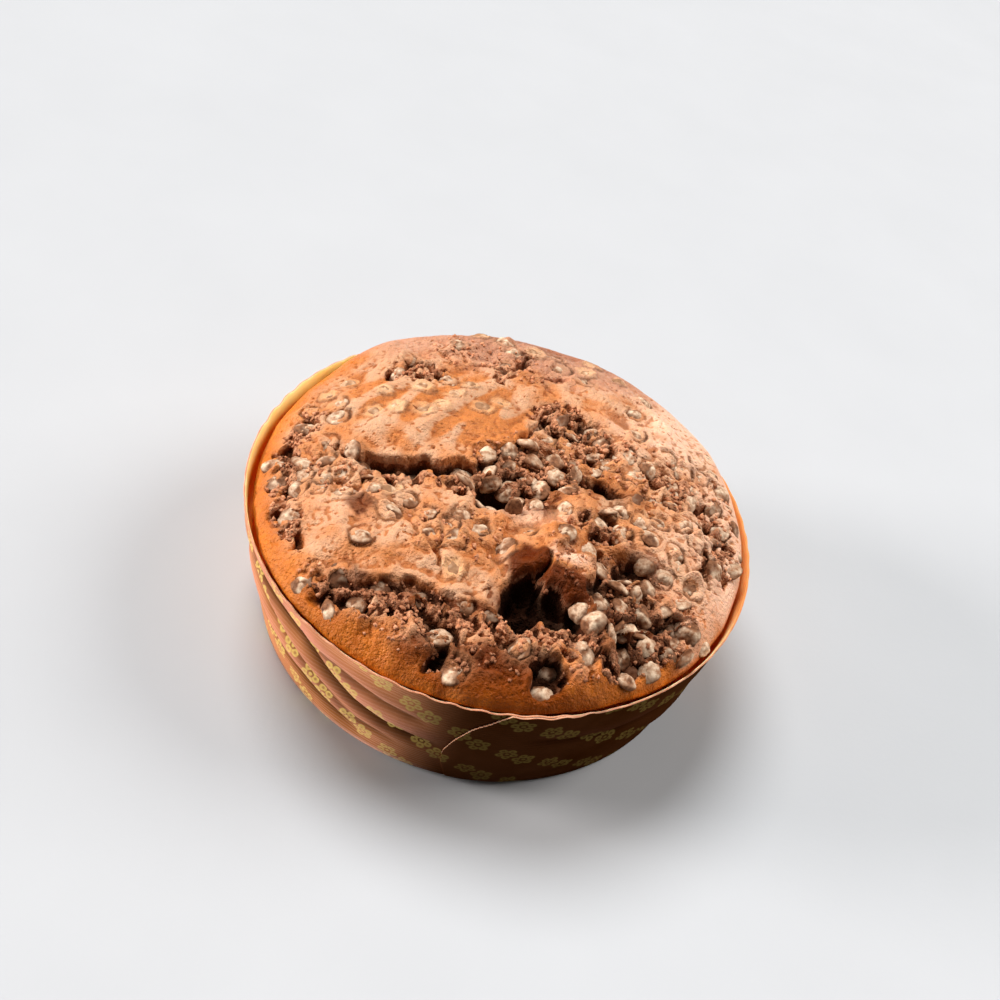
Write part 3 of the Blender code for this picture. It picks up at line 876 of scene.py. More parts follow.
def creases(azimuth, height):
    """How deep a crease is at each place, and how high the fold beside it, in millimetres."""
    around = WALL_MIDDLE * azimuth
    dip, fold = np.zeros(np.shape(around * height)), np.zeros(np.shape(around * height))
    for depth, half_width, line in CREASES:
        for whole_turn in (-2 * np.pi, 0, 2 * np.pi):
            bend = [(WALL_MIDDLE * (math.radians(a) + whole_turn), h) for a, h in line]
            distance, _, step_up, along = nearest_on_line(around + 0 * height, height + 0 * around, bend)
            fade = depth * smooth(6 * along) * smooth(6 * (1 - along))
            dip = dip + fade * np.exp(-((distance / half_width) ** 2))
            beside = np.exp(-(((distance - 2.2 * half_width) / half_width) ** 2))
            fold = fold + 0.6 * fade * beside * (step_up < 0)
    return dip, fold


def paper_relief(azimuth, height):
    """How far the paper stands in or out of its plain taper: creases, slow waves and ribs."""
    out = 0.35 * paper_hills(azimuth, 4.0 * height, 42.0, 51)
    out = out + 0.18 * paper_hills(azimuth, 3.0 * height, 17.0, 52)
    dip, fold = creases(azimuth, height)
    out = out - dip + fold
    ribs = RIB_DEPTH * np.sin(2 * np.pi * (height + 0.6 * paper_hills(azimuth, height, 30.0, 53)) / RIB_PITCH)
    share = height / RIM_HEIGHT
    calm = smooth(share * 6) * smooth((1 - share) * 7 + 0.1)
    return out * calm + ribs - 0.35 * calm


# %% The wall, rim and foot
COLUMNS = 360
WALL_ROWS = 140
INNER_ROWS = 26
FOOT_RINGS = {0.12: 0.0, 0.5: 0.0, 0.8: 0.0, 0.86: 0.25, 0.87: 0.0, 0.97: 0.0, 1.0: 0.0}  # share: height


def case_rings():
    """Rings of the case, from the middle of the underside up the outside, over the rim and down inside."""
    azimuth = np.linspace(STRIP_START, STRIP_START + 2 * np.pi, COLUMNS, endpoint=False)
    top = rim_height(azimuth)
    rings = []

    def ring(radius, height, skin):
        rings.append((radius * np.ones(COLUMNS), height * np.ones(COLUMNS), skin))

    centre = float(wall_radius(BASE_CORNER)) - BASE_CORNER
    for share, height in FOOT_RINGS.items():
        ring(centre * share, height, 0)
    for bend in (30, 60):
        bend = math.radians(bend)
        ring(centre + BASE_CORNER * math.sin(bend), BASE_CORNER * (1 - math.cos(bend)), 0)
    for share in np.linspace(0, 1, WALL_ROWS):
        height = BASE_CORNER + (top - 0.12 - BASE_CORNER) * share
        ring(wall_radius(height) + paper_relief(azimuth, height), height, 0)
    outer = wall_radius(top) + paper_relief(azimuth, top)
    ring(outer - 0.1, top, 1)
    ring(outer - PAPER + 0.1, top, 1)
    for share in np.linspace(1, 0, INNER_ROWS):
        height = BASE_CORNER + (top - 0.15 - BASE_CORNER) * share
        ring(wall_radius(height) + paper_relief(azimuth, height) - PAPER, height, 2)
    ring(centre - PAPER, PAPER, 2)
    return azimuth, rings


def wall_numbers(azimuth, height):
    """Place on the unrolled paper in millimetres, painted shade on the wall's front, and its creases."""
    turn = np.degrees(azimuth) % 360 + 3 * paper_hills(azimuth, height, 14.0, 54)
    # Painted shade over the front of the wall, which faces away from the lamps.
    front_shade = smooth((turn - SHADED_FRONT[0]) / 26 + 0.5) * smooth((SHADED_FRONT[1] - turn) / 30 + 0.5)
    turn = (turn + 180) % 360 - 180
    amber = smooth((turn - AMBER[0]) / 30 + 0.5) * smooth((AMBER[1] - turn) / 60 + 0.5)
    dip, fold = creases(azimuth, height)
    return {"around": WALL_MIDDLE * azimuth, "up": height, "front_shade": front_shade, "amber": amber,
            "dip": dip, "fold": fold}


azimuth, rings = case_rings()
radii = np.array([r[0] for r in rings])
heights = np.array([r[1] for r in rings])
case_points = round_axis(radii, azimuth, heights)
case_faces = grid_faces(len(rings), COLUMNS, closed=True)
skins = [max(lower[2], upper[2]) for lower, upper in zip(rings, rings[1:]) for _ in range(COLUMNS)]
case_faces += [list(range(COLUMNS))[::-1], [COLUMNS * (len(rings) - 1) + c for c in range(COLUMNS)]]
skins += [0, 2]
case = mesh_piece("case_wall", case_points.reshape(-1, 3), case_faces,
                  wall_numbers(np.broadcast_to(azimuth, radii.shape), heights))
print("case_wall:", len(case.data.polygons), "faces")


# %% [markdown]
# The lap is the free end of the strip. Its corner is cut round, so its pale edge leaves the rim and curves
# down to the left. It is a thin sheet of its own that lies on the wall, and it sinks into the wall further
# round, where the strip has become the wall.

# %% The lap in front
LAP_LEFT = 272.3
LAP_CURVE = 0.0165
LAP_MIDDLE = 14.0
LAP_WIDTH = 30.0
LAP_THICKNESS = 0.35
LAP_FOOT = 1.2
LAP_ROWS = 130
LAP_COLUMNS = 60


def lap_mesh():
    """The lap as a closed thin sheet: outside, cut edge, inside."""
    up = np.linspace(0, 1, LAP_ROWS)[:, None]
    across = np.linspace(0, 1, LAP_COLUMNS)[None, :] ** 1.3
    left = np.radians(LAP_LEFT + LAP_CURVE * (LAP_FOOT + (RIM_HEIGHT - LAP_FOOT) * up - LAP_MIDDLE) ** 2)
    right = math.radians(LAP_LEFT + LAP_WIDTH)
    azimuth = left + (right - left) * across
    top = rim_height(azimuth) + 0.05
    height = 1.4 + (top - 1.4) * up
    foot = np.minimum((height - BASE_CORNER) / BASE_CORNER, 0)
    body = wall_radius(height) - BASE_CORNER * (1 - np.sqrt(1 - foot ** 2)) + paper_relief(azimuth, height)
    lift = (PAPER + 0.1) * (1 - smooth((across - 0.35) / 0.6)) - 0.12 * smooth((across - 0.8) / 0.2)
    layers = [round_axis(body + lift - depth, azimuth, height) for depth in (0.0, LAP_THICKNESS)]
    count = LAP_ROWS * LAP_COLUMNS
    outside = grid_faces(LAP_ROWS, LAP_COLUMNS)
    inside = [[count + i for i in face[::-1]] for face in outside]
    border = grid_border(LAP_ROWS, LAP_COLUMNS)
    rim = np.stack([border, border + count, np.roll(border, -1) + count, np.roll(border, -1)], 1).tolist()
    numbers = wall_numbers(np.tile(azimuth.ravel() - 2 * np.pi, 2), np.tile(height.ravel(), 2))
    piece = mesh_piece("case_lap", np.concatenate(layers).reshape(-1, 3), outside + inside + rim, numbers)
    return piece, [0] * len(outside) + [2] * len(inside) + [1] * len(rim)


lap, lap_skins = lap_mesh()
print("case_lap:", len(lap.data.polygons), "faces")


# %% [markdown]
# ## Node groups
# Two effects are needed by several materials, so each is a node group of its own: `uneven_colour` mixes two
# colours in soft blotches, and `fine_relief` gives a height for small bumps. Groups only put out colours,
# masks and values. The shader itself stays in each material, with its fixed values on its own sockets.

# %% Small helpers for nodes
def new_group(name, inputs, outputs):
    """A shader node group with named sockets; returns it with its input and output nodes."""
    group = bpy.data.node_groups.new(name, "ShaderNodeTree")
    for way, sockets in (("INPUT", inputs), ("OUTPUT", outputs)):
        for label, kind, *start in sockets:
            socket = group.interface.new_socket(label, in_out=way, socket_type="NodeSocket" + kind)
            if start:
                socket.default_value = start[0]
    return group, group.nodes.new("NodeGroupInput"), group.nodes.new("NodeGroupOutput")


def fill(tree, made, **values):
    """Fills a node's inputs with values or other sockets; i0, i1 and so on name an input by its place."""
    for label, value in values.items():
        key = int(label[1:]) if label[0] == "i" and label[1:].isdigit() else label.replace("_", " ")
        if isinstance(value, bpy.types.NodeSocket):
            tree.links.new(value, made.inputs[key])
        else:
            made.inputs[key].default_value = value
    return made


def node(tree, kind, settings=None, **values):
    """Adds a node; settings are its own options, and values fill its inputs."""
    made = tree.nodes.new("ShaderNode" + kind)
    for option, value in (settings or {}).items():
        setattr(made, option, value)
    return fill(tree, made, **values)


def maths(operation, *values, clamp=False):
    """One arithmetic node's result. At least one of its values is a socket, whose tree the node joins."""
    tree = next(value.id_data for value in values if isinstance(value, bpy.types.NodeSocket))
    inputs = {f"i{place}": value for place, value in enumerate(values)}
    return node(tree, "Math", {"operation": operation, "use_clamp": clamp}, **inputs).outputs[0]


def blend(share, first, second):
    """The first colour turned into the second by a share."""
    return node(share.id_data, "Mix", {"data_type": "RGBA"}, i0=share, i6=first, i7=second).outputs[2]


def ramp(value, low, high):
    """A value stretched so that low becomes 0 and high becomes 1."""
    return node(value.id_data, "MapRange", {"interpolation_type": "SMOOTHSTEP"}, Value=value, From_Min=low,
                From_Max=high).outputs[0]


def number(tree, label):
    """A value stored on the mesh's points."""
    return node(tree, "Attribute", {"attribute_name": label}).outputs["Fac"]


def colour(red, green, blue):
    """A screen colour, 0 to 255, as the linear colour that shaders use."""
    parts = [c / 255 for c in (red, green, blue)]
    return tuple(c / 12.92 if c <= 0.04045 else ((c + 0.055) / 1.055) ** 2.4 for c in parts) + (1.0,)


# %% The two shared groups
PER_MM = 1000.0


def scaled_place(tree, size_mm):
    """Place on the object, counted in steps of one size."""
    place = node(tree, "TexCoord").outputs["Object"]
    steps = maths("DIVIDE", PER_MM, size_mm)
    return node(tree, "VectorMath", {"operation": "SCALE"}, i0=place, Scale=steps).outputs[0]


def group_uneven_colour():
    """Soft blotches between two colours."""
    tree, start, end = new_group("uneven_colour", [
        ("First", "Color"), ("Second", "Color"), ("Size mm", "Float", 5.0), ("Sharpness", "Float", 0.5),
        ("Shift", "Float", 0.0)], [("Colour", "Color"), ("Share", "Float")])
    scaled = scaled_place(tree, start.outputs["Size mm"])
    shifted = node(tree, "VectorMath", {"operation": "ADD"}, i0=scaled, i1=start.outputs["Shift"]).outputs[0]
    noise = node(tree, "TexNoise", Vector=shifted, Scale=1.0, Detail=3.0, Roughness=0.6).outputs["Fac"]
    half = maths("MULTIPLY", maths("SUBTRACT", 1.0, start.outputs["Sharpness"]), 0.35)
    share = node(tree, "MapRange", Value=noise, From_Min=maths("SUBTRACT", 0.5, half),
                 From_Max=maths("ADD", 0.501, half)).outputs[0]
    tree.links.new(blend(share, start.outputs["First"], start.outputs["Second"]), end.inputs["Colour"])
    tree.links.new(share, end.inputs["Share"])
    return tree


def group_fine_relief():
    """Height for small bumps: rolling grain with small pits in it."""
    tree, start, end = new_group("fine_relief", [
        ("Size mm", "Float", 1.0), ("Pits", "Float", 0.5)], [("Height", "Float"), ("Pit", "Float")])
    scaled = scaled_place(tree, start.outputs["Size mm"])
    grain = node(tree, "TexNoise", Vector=scaled, Scale=1.0, Detail=3.0, Roughness=0.62).outputs["Fac"]
    cell = node(tree, "TexVoronoi", Vector=scaled, Scale=0.9).outputs["Distance"]
    pit = ramp(cell, 0.34, 0.08)
    height = maths("SUBTRACT", grain, maths("MULTIPLY", pit, start.outputs["Pits"]))
    tree.links.new(height, end.inputs["Height"])
    tree.links.new(pit, end.inputs["Pit"])
    return tree


UNEVEN = group_uneven_colour()
RELIEF = group_fine_relief()
print("node groups:", [group.name for group in bpy.data.node_groups])


# %% Putting groups into a material
def use_group(tree, group, **values):
    """Places a node group in a material, with its values or links."""
    made = tree.nodes.new("ShaderNodeGroup")
    made.node_tree = group
    return fill(tree, made, **values).outputs


def blotches(tree, first, second, size_mm, sharpness, shift):
    """Two colours in soft blotches, with the share of the second."""
    return use_group(tree, UNEVEN, First=first, Second=second, Size_mm=size_mm, Sharpness=sharpness,
                     Shift=shift)


def new_material(name, **fixed):
    """A material with one Principled shader; fixed values go on the shader's own sockets."""
    material = bpy.data.materials.new(name)
    material.use_nodes = True
    tree = material.node_tree
    shader = tree.nodes["Principled BSDF"]
    fill(tree, shader, **fixed)
    return material, tree, shader


def bump(height, distance_mm, strength=1.0):
    """A bump of a real depth."""
    made = node(height.id_data, "Bump", Height=height, Distance=distance_mm * MM, Strength=strength)
    return made.outputs["Normal"]


# %% [markdown]
# ## The crust's finish
# A baked crust is palest on the dry tops of its plates, where painted sheen adds to it, and goes golden and
# then brown in the folds, partly by real browning and partly by painted shade. Where it tore, the crumb
# shows as a matt tan with pits darkened by painted shade, going nearly black deep in the cracks, and the
# gaps round the chips carry painted shadow. The numbers stored on the mesh steer the mix, so the colours
# sit where the shape says that they should.

# %% The crust's colours
CRUST_PALE = colour(206, 159, 124)
CRUST_GOLD = colour(196, 118, 60)
CRUST_BROWN = colour(136, 62, 12)
CRUST_SIDE = colour(220, 124, 28)
CRUST_RUST = colour(168, 78, 2)
# Browns for the browned places, which also carry painted shade.
CRUST_BROWN_SHADE = colour(88, 30, 0)
CRUST_EDGE_BROWN_SHADE = colour(118, 50, 0)
# Pale pink of dry skin, which also serves as painted sheen.
CRUST_DRY_SHEEN = colour(238, 192, 162)
CRUST_DUSKY = colour(180, 126, 99)
CRUMB = colour(226, 164, 124)
CRUMB_BROWN = colour(128, 66, 32)
# Crumb brown for the browned places, partly painted shade.
CRUMB_BROWN_SHADE = colour(84, 32, 12)
# Near black: painted shade deep in cracks and in crumb pits.
CRUMB_SHADE_DARK = colour(22, 7, 2)
FILM = colour(236, 188, 140)
# Painted shadow colour for the gaps round the chips.
GAP_SHADOW = colour(58, 28, 14)


# %% The crust's material
def crust_material():
    """The crust from the skin inward, with painted sheen on dry skin and painted shade in folds, pits and
    depths.
    """
    material, tree, shader = new_material("baked_crust", Specular_Tint=(1.0, 0.76, 0.56, 1.0),
                                          Subsurface_Weight=0.08, Subsurface_Radius=(1.0, 0.4, 0.15),
                                          Subsurface_Scale=2.0 * MM)
    skin = blotches(tree, CRUST_PALE, CRUST_GOLD, size_mm=8.0, sharpness=0.5, shift=1.0)
    fine = blotches(tree, CRUST_GOLD, CRUST_BROWN, size_mm=2.2, sharpness=0.3, shift=4.0)
    side = blotches(tree, CRUST_SIDE, CRUST_RUST, size_mm=5.0, sharpness=0.1, shift=2.0)
    crumb = blotches(tree, CRUMB, CRUMB_BROWN, size_mm=2.0, sharpness=0.4, shift=7.0)
    small = use_group(tree, RELIEF, Size_mm=1.1, Pits=0.25)
    rough = use_group(tree, RELIEF, Size_mm=0.9, Pits=0.7)
    hollow, valley, deep, torn = (number(tree, label) for label in ("hollow", "valley", "deep", "torn"))
    # Painted shade, partly real browning: hollows and valleys turn brown.
    folds = maths("MAXIMUM", ramp(hollow, 0.5, 0.68), ramp(valley, 0.48, 0.72))
    edge = ramp(number(tree, "reach"), 0.86, 0.97)
    browned_shaded = number(tree, "browned_shaded")
    fold_brown_and_shade = blend(browned_shaded, fine["Colour"], CRUST_BROWN_SHADE)
    golden = maths("MULTIPLY", number(tree, "gold"), 0.65)
    tone = blend(maths("MULTIPLY_ADD", skin["Share"], 0.35, golden), CRUST_PALE, CRUST_GOLD)
    tone = blend(maths("MULTIPLY", folds, 0.92), tone, fold_brown_and_shade)
    tone = blend(maths("MULTIPLY", edge, 0.9), tone, side["Colour"])
    # Dry pale skin with painted sheen, less of it in the folds.
    dry_sheen = maths("MULTIPLY", number(tree, "dry_sheen"), maths("MULTIPLY_ADD", folds, -0.7, 1.0))
    tone = blend(dry_sheen, tone, CRUST_DRY_SHEEN)
    tone = blend(number(tree, "dusky"), tone, CRUST_DUSKY)
    # Painted shade, partly real browning: the browned places turn dark brown.
    most_browned_shaded = maths("MULTIPLY", ramp(browned_shaded, 0.2, 1.1), 0.95)
    tone = blend(most_browned_shaded, tone, blend(edge, CRUST_BROWN_SHADE, CRUST_EDGE_BROWN_SHADE))
    tone = blend(maths("MULTIPLY", number(tree, "film"), 0.6), tone, FILM)
    # Painted shade: the crumb's pits go dark, darkest in the browned places.
    pit = blend(browned_shaded, CRUMB_BROWN, CRUMB_SHADE_DARK)
    inner = blend(ramp(hollow, 0.38, 0.58), crumb["Colour"], pit)
    inner = blend(maths("MULTIPLY", most_browned_shaded, 0.5), inner, CRUMB_BROWN_SHADE)
    # Painted shade: deep in cracks and craters the crumb goes nearly black.
    inner = blend(ramp(deep, 0.25, 0.78), inner, CRUMB_SHADE_DARK)
    open_crumb = maths("MULTIPLY", ramp(torn, 0.25, 0.7), 0.92)
    tone = blend(open_crumb, tone, inner)
    # Painted shadow in the gaps round the chips.
    tone = blend(number(tree, "shade"), tone, GAP_SHADOW)
    height = maths("ADD", small["Height"], maths("MULTIPLY", rough["Height"], torn))
    gloss = maths("ADD", 0.4, maths("MULTIPLY", torn, 0.38))
    gloss = maths("ADD", gloss, maths("MULTIPLY", small["Pit"], 0.1))
    shine = maths("SUBTRACT", 0.32, maths("MULTIPLY", most_browned_shaded, 0.22))
    fill(tree, shader, Base_Color=tone, Roughness=gloss, Specular_IOR_Level=shine, Normal=bump(height, 0.85))
    return material


# %% [markdown]
# ## The chips' finish
# Chips that baked on top turn a milky tan with a satin skin. Painted light and shade make each one paler
# toward its top and darker at its foot and in its dents, and the chips deep in cracks get painted shade.
# Each one has its own tint and a little dusting of bloom in blotches, and those under the film take on some
# of its colour.

# %% Chocolate and crumb colours
CHIP_CREAM = colour(228, 202, 172)
CHIP_TAN = colour(150, 102, 70)
CHIP_BROWN = colour(66, 33, 18)
# Painted shade for the chips that lie deep in cracks.
CHIP_CRACK_SHADE = colour(76, 42, 24)
GRAIN_PALE = colour(234, 172, 132)
GRAIN_BROWN = colour(180, 108, 68)
# Grain brown for the browned places, partly painted shade.
GRAIN_BROWN_SHADE = colour(96, 42, 20)


# %% Chocolate
def chip_material():
    """Milky to dark chocolate by each chip's tint, with painted light and shade on each and in cracks."""
    material, tree, shader = new_material("chip_chocolate", Specular_IOR_Level=0.16,
                                          Specular_Tint=(1.0, 0.85, 0.7, 1.0))
    body = blotches(tree, CHIP_CREAM, CHIP_TAN, size_mm=1.4, sharpness=0.5, shift=11.0)
    brown = blotches(tree, CHIP_BROWN, CHIP_TAN, size_mm=1.0, sharpness=0.3, shift=3.0)
    # Painted light and shade: each chip lighter at its top, darker at its foot and in dents.
    lit = ramp(maths("MULTIPLY_ADD", number(tree, "tint"), 0.5, number(tree, "pale")), 0.38, 1.05)
    tone = blend(lit, brown["Colour"], body["Colour"])
    tone = blend(maths("MULTIPLY", number(tree, "film"), 0.2), tone, FILM)
    # Painted shade on the chips deep in cracks.
    tone = blend(maths("MULTIPLY", number(tree, "dark"), 0.7), tone, CHIP_CRACK_SHADE)
    grain = use_group(tree, RELIEF, Size_mm=0.8, Pits=0.3)
    gloss = maths("ADD", 0.52, maths("MULTIPLY", body["Share"], 0.2))
    fill(tree, shader, Base_Color=tone, Roughness=gloss, Normal=bump(grain["Height"], 0.22, 0.6))
    return material


# %% Crumb
def crumb_material():
    """Matt baked crumb, darker by its tint, which carries painted shade from depth and the browned places."""
    material, tree, shader = new_material("loose_crumb", Specular_IOR_Level=0.3,
                                          Specular_Tint=(1.0, 0.7, 0.45, 1.0))
    body = blotches(tree, GRAIN_PALE, GRAIN_BROWN, size_mm=1.5, sharpness=0.4, shift=3.0)
    # Painted shade, partly real browning: grains deep in cracks and in browned places are darker.
    tone = blend(ramp(number(tree, "tint"), 0.0, 1.4), body["Colour"], GRAIN_BROWN_SHADE)
    grain = use_group(tree, RELIEF, Size_mm=0.6, Pits=0.6)
    gloss = maths("ADD", 0.6, maths("MULTIPLY", body["Share"], 0.2))
    fill(tree, shader, Base_Color=tone, Roughness=gloss, Normal=bump(grain["Height"], 0.3, 0.8))
    return material


# %% [markdown]
# ## The printed paper
# The print is two small flowers side by side, over and over, on a slanted lattice. On the unrolled wall
# each place is so many millimetres round and so many up. The lattice turns that into a place inside one
# cell, and a flower is drawn there from its middle: how far out, and at which angle of its five petals.

# %% Sizes of the print
STEP_ALONG = (12.08, -6.65)
STEP_UP = (8.0, 11.4)
FIRST_SPRIG = (276.8, 27.3)
SPRIG_FLOWERS = [(-2.35, 1.6, 3.0, 0.25), (2.35, -1.7, 3.1, 0.6)]


# %% One flower as a node group
def length(across, up):
    """Distance from two parts of it."""
    return maths("SQRT", maths("ADD", maths("MULTIPLY", across, across), maths("MULTIPLY", up, up)))


def group_flower():
    """One five-petalled flower with a ring in its middle, as a mask."""
    sockets = [("Across", "Float"), ("Up", "Float"), ("Radius", "Float", 2.5), ("Turn", "Float", 0.0)]
    tree, start, end = new_group("flower", sockets, [("Mask", "Float")])
    across, up, radius, turn = (start.outputs[label] for label in ("Across", "Up", "Radius", "Turn"))
    far = maths("DIVIDE", length(across, up), radius)
    petals = maths("ADD", maths("MULTIPLY", maths("ARCTAN2", up, across), 2.5 / math.pi), turn)
    bend = maths("MULTIPLY", maths("SUBTRACT", petals, maths("ROUND", petals)), 0.4 * math.pi)
    out = maths("SUBTRACT", maths("MULTIPLY", far, maths("COSINE", bend)), 0.6)
    petal_far = length(out, maths("MULTIPLY", far, maths("SINE", bend)))
    spot = maths("MULTIPLY", ramp(petal_far, 0.19, 0.06), 0.65)
    petal = maths("MULTIPLY", ramp(petal_far, 0.4, 0.29), maths("SUBTRACT", 1.0, spot))
    from_ring = maths("ABSOLUTE", maths("SUBTRACT", far, 0.25))
    gap = maths("SUBTRACT", 1.0, maths("MULTIPLY", ramp(from_ring, 0.12, 0.04), 0.9))
    drawn = maths("MAXIMUM", petal, ramp(far, 0.3, 0.2))
    tree.links.new(maths("MULTIPLY", drawn, gap), end.inputs["Mask"])
    return tree


FLOWER = group_flower()


# %% The whole print as a node group
def group_sprigs():
    """The whole print: the lattice, and the flowers of one cell."""
    tree, start, end = new_group("sprigs", [("Around mm", "Float"), ("Up mm", "Float")], [("Mask", "Float")])
    across = maths("SUBTRACT", start.outputs["Around mm"], FIRST_SPRIG[0])
    up = maths("SUBTRACT", start.outputs["Up mm"], FIRST_SPRIG[1])
    (ax, ay), (bx, by) = STEP_ALONG, STEP_UP
    area = ax * by - ay * bx

    def mixed(first, second, one, two):
        return maths("ADD", maths("MULTIPLY", first, one), maths("MULTIPLY", second, two))

    steps = mixed(across, up, by / area, -bx / area), mixed(across, up, -ay / area, ax / area)
    cell = [maths("SUBTRACT", step, maths("ROUND", step)) for step in steps]
    place = mixed(*cell, ax, bx), mixed(*cell, ay, by)
    mask = None
    for dx, dy, radius, turn in SPRIG_FLOWERS:
        flower = use_group(tree, FLOWER, Across=maths("SUBTRACT", place[0], dx),
                           Up=maths("SUBTRACT", place[1], dy), Radius=radius, Turn=turn)["Mask"]
        mask = flower if mask is None else maths("MAXIMUM", mask, flower)
    tree.links.new(mask, end.inputs["Mask"])
    return tree


SPRIGS = group_sprigs()
print("print groups:", FLOWER.name, "and", SPRIGS.name)

# %% The paper's colours
PAPER_RED = colour(224, 146, 96)
PAPER_BROWN = colour(152, 92, 32)
# Painted light on the folds beside the creases, and painted shade in the creases.
PAPER_FOLD_LIGHT = colour(224, 148, 118)
PAPER_CREASE_SHADE = colour(74, 38, 4)
# Painted shade over the front of the wall.
PAPER_FRONT_SHADE = colour(32, 6, 0)
PAPER_GOLD = colour(230, 198, 108)
PAPER_AMBER = colour(220, 132, 58)
# Darker orange for painted shade low on the inside of the case.
PAPER_LOW_SHADE = colour(226, 126, 40)
EDGE_PALE = colour(208, 152, 120)
EDGE_BROWN = colour(164, 104, 76)
INSIDE_PALE = colour(255, 224, 172)
INSIDE_STRAW = colour(250, 204, 138)


# %% The printed outside
def paper_outside():
    """Printed paper: blotches, gold print, painted light on folds and painted shade in creases and in front.
    """
    material, tree, shader = new_material("case_paper_printed", Specular_Tint=(1.0, 0.55, 0.35, 1.0),
                                          Sheen_Roughness=0.45, Sheen_Tint=(1.0, 0.6, 0.5, 1.0))
    body = blotches(tree, PAPER_RED, PAPER_BROWN, size_mm=24.0, sharpness=0.35, shift=2.0)
    print_mask = use_group(tree, SPRIGS, Around_mm=number(tree, "around"), Up_mm=number(tree, "up"))["Mask"]
    wear = blotches(tree, (0, 0, 0, 1), (1, 1, 1, 1), size_mm=1.2, sharpness=0.2, shift=6.0)
    gold = maths("MULTIPLY", print_mask, maths("MULTIPLY_ADD", wear["Share"], -0.4, 1.0))
    dip, front_shade = number(tree, "dip"), number(tree, "front_shade")
    # Painted light on the folds, then painted shade in the creases.
    plain = blend(maths("MULTIPLY", number(tree, "fold"), 1.0, clamp=True), body["Colour"], PAPER_FOLD_LIGHT)
    plain = blend(maths("MULTIPLY", dip, 0.85, clamp=True), plain, PAPER_CREASE_SHADE)
    # Painted shade over the front of the wall, on the paper and its print.
    plain = blend(maths("MULTIPLY", front_shade, 0.93), plain, PAPER_FRONT_SHADE)
    faded = blend(maths("MULTIPLY", front_shade, 0.85), PAPER_GOLD, PAPER_FRONT_SHADE)
    tone = blend(gold, plain, faded)
    rib = maths("SINE", maths("MULTIPLY", number(tree, "up"), 2 * math.pi / RIB_PITCH))
    grain = use_group(tree, RELIEF, Size_mm=0.7, Pits=0.1)
    height = maths("ADD", maths("MULTIPLY", rib, 0.3), maths("MULTIPLY", grain["Height"], 0.6))
    gloss = maths("MULTIPLY_ADD", gold, -0.15, 0.62)
    dry_sheen = maths("SUBTRACT", 1.0, front_shade)
    unfolded = maths("SUBTRACT", 0.45, maths("MULTIPLY", dip, 0.35), clamp=True)
    fill(tree, shader, Base_Color=tone, Roughness=gloss, Normal=bump(height, 0.12, 0.7),
         Sheen_Weight=maths("MULTIPLY", dry_sheen, unfolded), Specular_IOR_Level=maths("MULTIPLY", dry_sheen, 0.06))
    return material


# %% The inside and the cut edge
def paper_plain(name, first, second, size_mm, low_shade):
    """Unprinted paper, for the inside and for the cut edge."""
    material, tree, shader = new_material(name, Specular_IOR_Level=0.3, Subsurface_Weight=0.8,
                                          Subsurface_Radius=(1.0, 0.85, 0.7), Subsurface_Scale=1.5 * MM)
    body = blotches(tree, first, second, size_mm, sharpness=0.1, shift=9.0)
    grain = use_group(tree, RELIEF, Size_mm=0.5, Pits=0.1)
    gloss = maths("ADD", 0.55, maths("MULTIPLY", body["Share"], 0.15))
    # Painted shade: the inside goes darker orange below the rim.
    low = ramp(number(tree, "up"), RIM_HEIGHT - 1.5, RIM_HEIGHT - 6.0)
    tone = blend(maths("MULTIPLY", low, low_shade), body["Colour"], PAPER_LOW_SHADE)
    tone = blend(maths("MULTIPLY", number(tree, "amber"), 0.8), tone, PAPER_AMBER)
    fill(tree, shader, Base_Color=tone, Roughness=gloss, Normal=bump(grain["Height"], 0.08, 0.6))
    return material


# %% Give every piece its finish
PAPER_SKINS = [
    paper_outside(),
    paper_plain("case_paper_edge", EDGE_PALE, EDGE_BROWN, size_mm=3.0, low_shade=0.0),
    paper_plain("case_paper_inside", INSIDE_PALE, INSIDE_STRAW, size_mm=12.0, low_shade=0.85),
]
for piece, piece_skins in ((case, skins), (lap, lap_skins)):
    for skin in PAPER_SKINS:
        piece.data.materials.append(skin)
    piece.data.polygons.foreach_set("material_index", piece_skins)
cake.data.materials.append(crust_material())
chip_mesh.data.materials.append(chip_material())
crumbs.data.materials.append(crumb_material())
print("materials:", [material.name for material in bpy.data.materials if material.users])

# %% [markdown]
# ## Joining the looks to the model
# Each piece rides on the body it moves with, and the solid that it stands for is hidden. This object has
# no moving parts, so they all ride on its one body.

# %% Ride and replace
for piece, solid, slot in ((cake, "cake", "cake"), (chip_mesh, "cake", "chocolate"), (crumbs, "cake", "cake"),
                           (case, "paper_case", "case"), (lap, "paper_case", "case")):
    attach(piece, "root")
    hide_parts(solid)
print("pieces:", [piece.name for piece in (cake, chip_mesh, crumbs, case, lap)])

# %% [markdown]
# ## Floor, light and camera
# The cake stands on a plain pale floor. One big soft lamp behind it and to the left gives the crust its
# bright plates and dark folds. A low one lifts the left wall, one at the right lifts the far slope, and the
# world adds a little light from all round. The lamps are far away, so that the floor is lit evenly as far
# as it goes.

# %% Floor
FLOOR_SIZE = 6.0
FLOOR_LIGHT = colour(184, 187, 190)
FLOOR_SHADE = colour(180, 183, 186)


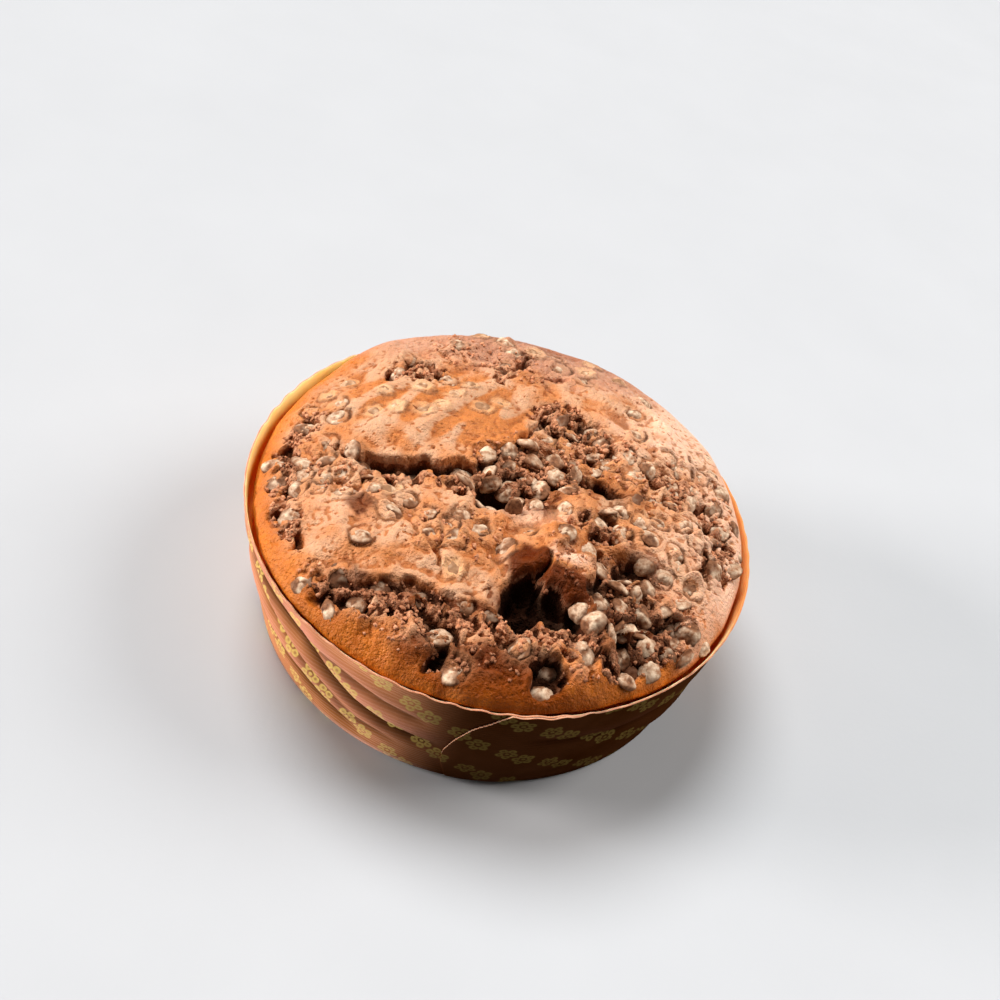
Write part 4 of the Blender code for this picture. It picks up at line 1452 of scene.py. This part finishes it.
def floor_piece():
    """A plain pale floor, far wider than the view."""
    half = FLOOR_SIZE / 2 / MM
    corners = [(-half, -half, 0), (half, -half, 0), (half, half, 0), (-half, half, 0)]
    piece = mesh_piece("floor", corners, [(0, 1, 2, 3)])
    material, tree, shader = new_material("pale_floor", Specular_IOR_Level=0.03)
    body = blotches(tree, FLOOR_LIGHT, FLOOR_SHADE, size_mm=60.0, sharpness=0.0, shift=5.0)
    grain = use_group(tree, RELIEF, Size_mm=2.0, Pits=0.1)
    rough = maths("ADD", 0.9, maths("MULTIPLY", body["Share"], 0.05))
    fill(tree, shader, Base_Color=body["Colour"], Roughness=rough, Normal=bump(grain["Height"], 0.1, 0.3))
    piece.data.materials.append(material)
    return piece


floor = floor_piece()
print("floor:", FLOOR_SIZE, "m wide")

# %% Lights
RIM_CENTRE = Vector((0, 0, RIM_HEIGHT * MM))


def lamp(name, azimuth, elevation, softness, strength, tint):
    """A far lamp, placed by its angles; softness is how wide it looks from the cake, in degrees."""
    data = bpy.data.lights.new(name, "SUN")
    data.angle, data.energy, data.color = math.radians(softness), strength, tint
    a, e = math.radians(azimuth), math.radians(elevation)
    way = Vector((math.cos(a) * math.cos(e), math.sin(a) * math.cos(e), math.sin(e)))
    piece = bpy.data.objects.new(name, data)
    piece.location = RIM_CENTRE + way
    piece.rotation_euler = way.to_track_quat("Z", "Y").to_euler()
    bpy.context.scene.collection.objects.link(piece)


lamp("window", 133, 61, 32, 3.36, (0.98, 0.98, 0.98))
lamp("left_fill", 186, 14, 20, 4.0, (1.0, 0.93, 0.9))
lamp("right_fill", 25, 38, 35, 2.6, (1.0, 0.94, 0.9))
SKY_LIGHT = 0.07
SKY_SEEN = 0.70
world = bpy.data.worlds.new("studio")
world.use_nodes = True
sky = world.node_tree
background = sky.nodes["Background"]
seen = node(sky, "LightPath").outputs["Is Camera Ray"]
strength = maths("MULTIPLY_ADD", seen, SKY_SEEN, SKY_LIGHT)
fill(sky, background, Color=colour(250, 249, 247), Strength=strength)
bpy.context.scene.world = world
bpy.context.scene.view_settings.view_transform = "Standard"
print("lamps:", [light.name for light in bpy.data.lights])

# %% Camera
CAMERA_TILT = math.radians(43.97)
CAMERA_ROLL = math.radians(16.43)
CAMERA_DISTANCE = 4.5 * RIM_RADIUS * MM
LENS_MM = 41.37


def camera_piece():
    """A camera that looks at the middle of the rim, rolled a little to one side."""
    data = bpy.data.cameras.new("camera")
    data.lens, data.sensor_width = LENS_MM, 36.0
    data.shift_x = -0.005
    data.clip_start, data.clip_end = 0.01, 20.0
    back = Vector((0, -math.cos(CAMERA_TILT), math.sin(CAMERA_TILT)))
    right, up = Vector((1, 0, 0)), back.cross(Vector((1, 0, 0)))
    side_axis = math.cos(CAMERA_ROLL) * right + math.sin(CAMERA_ROLL) * up
    up_axis = back.cross(side_axis)
    turned = Matrix((side_axis, up_axis, back)).transposed().to_4x4()
    piece = bpy.data.objects.new("camera", data)
    piece.matrix_world = Matrix.Translation(RIM_CENTRE + back * CAMERA_DISTANCE) @ turned
    bpy.context.scene.collection.objects.link(piece)
    return piece


bpy.context.scene.camera = camera_piece()
print(f"camera {CAMERA_DISTANCE / MM:.0f} mm from the middle of the rim")
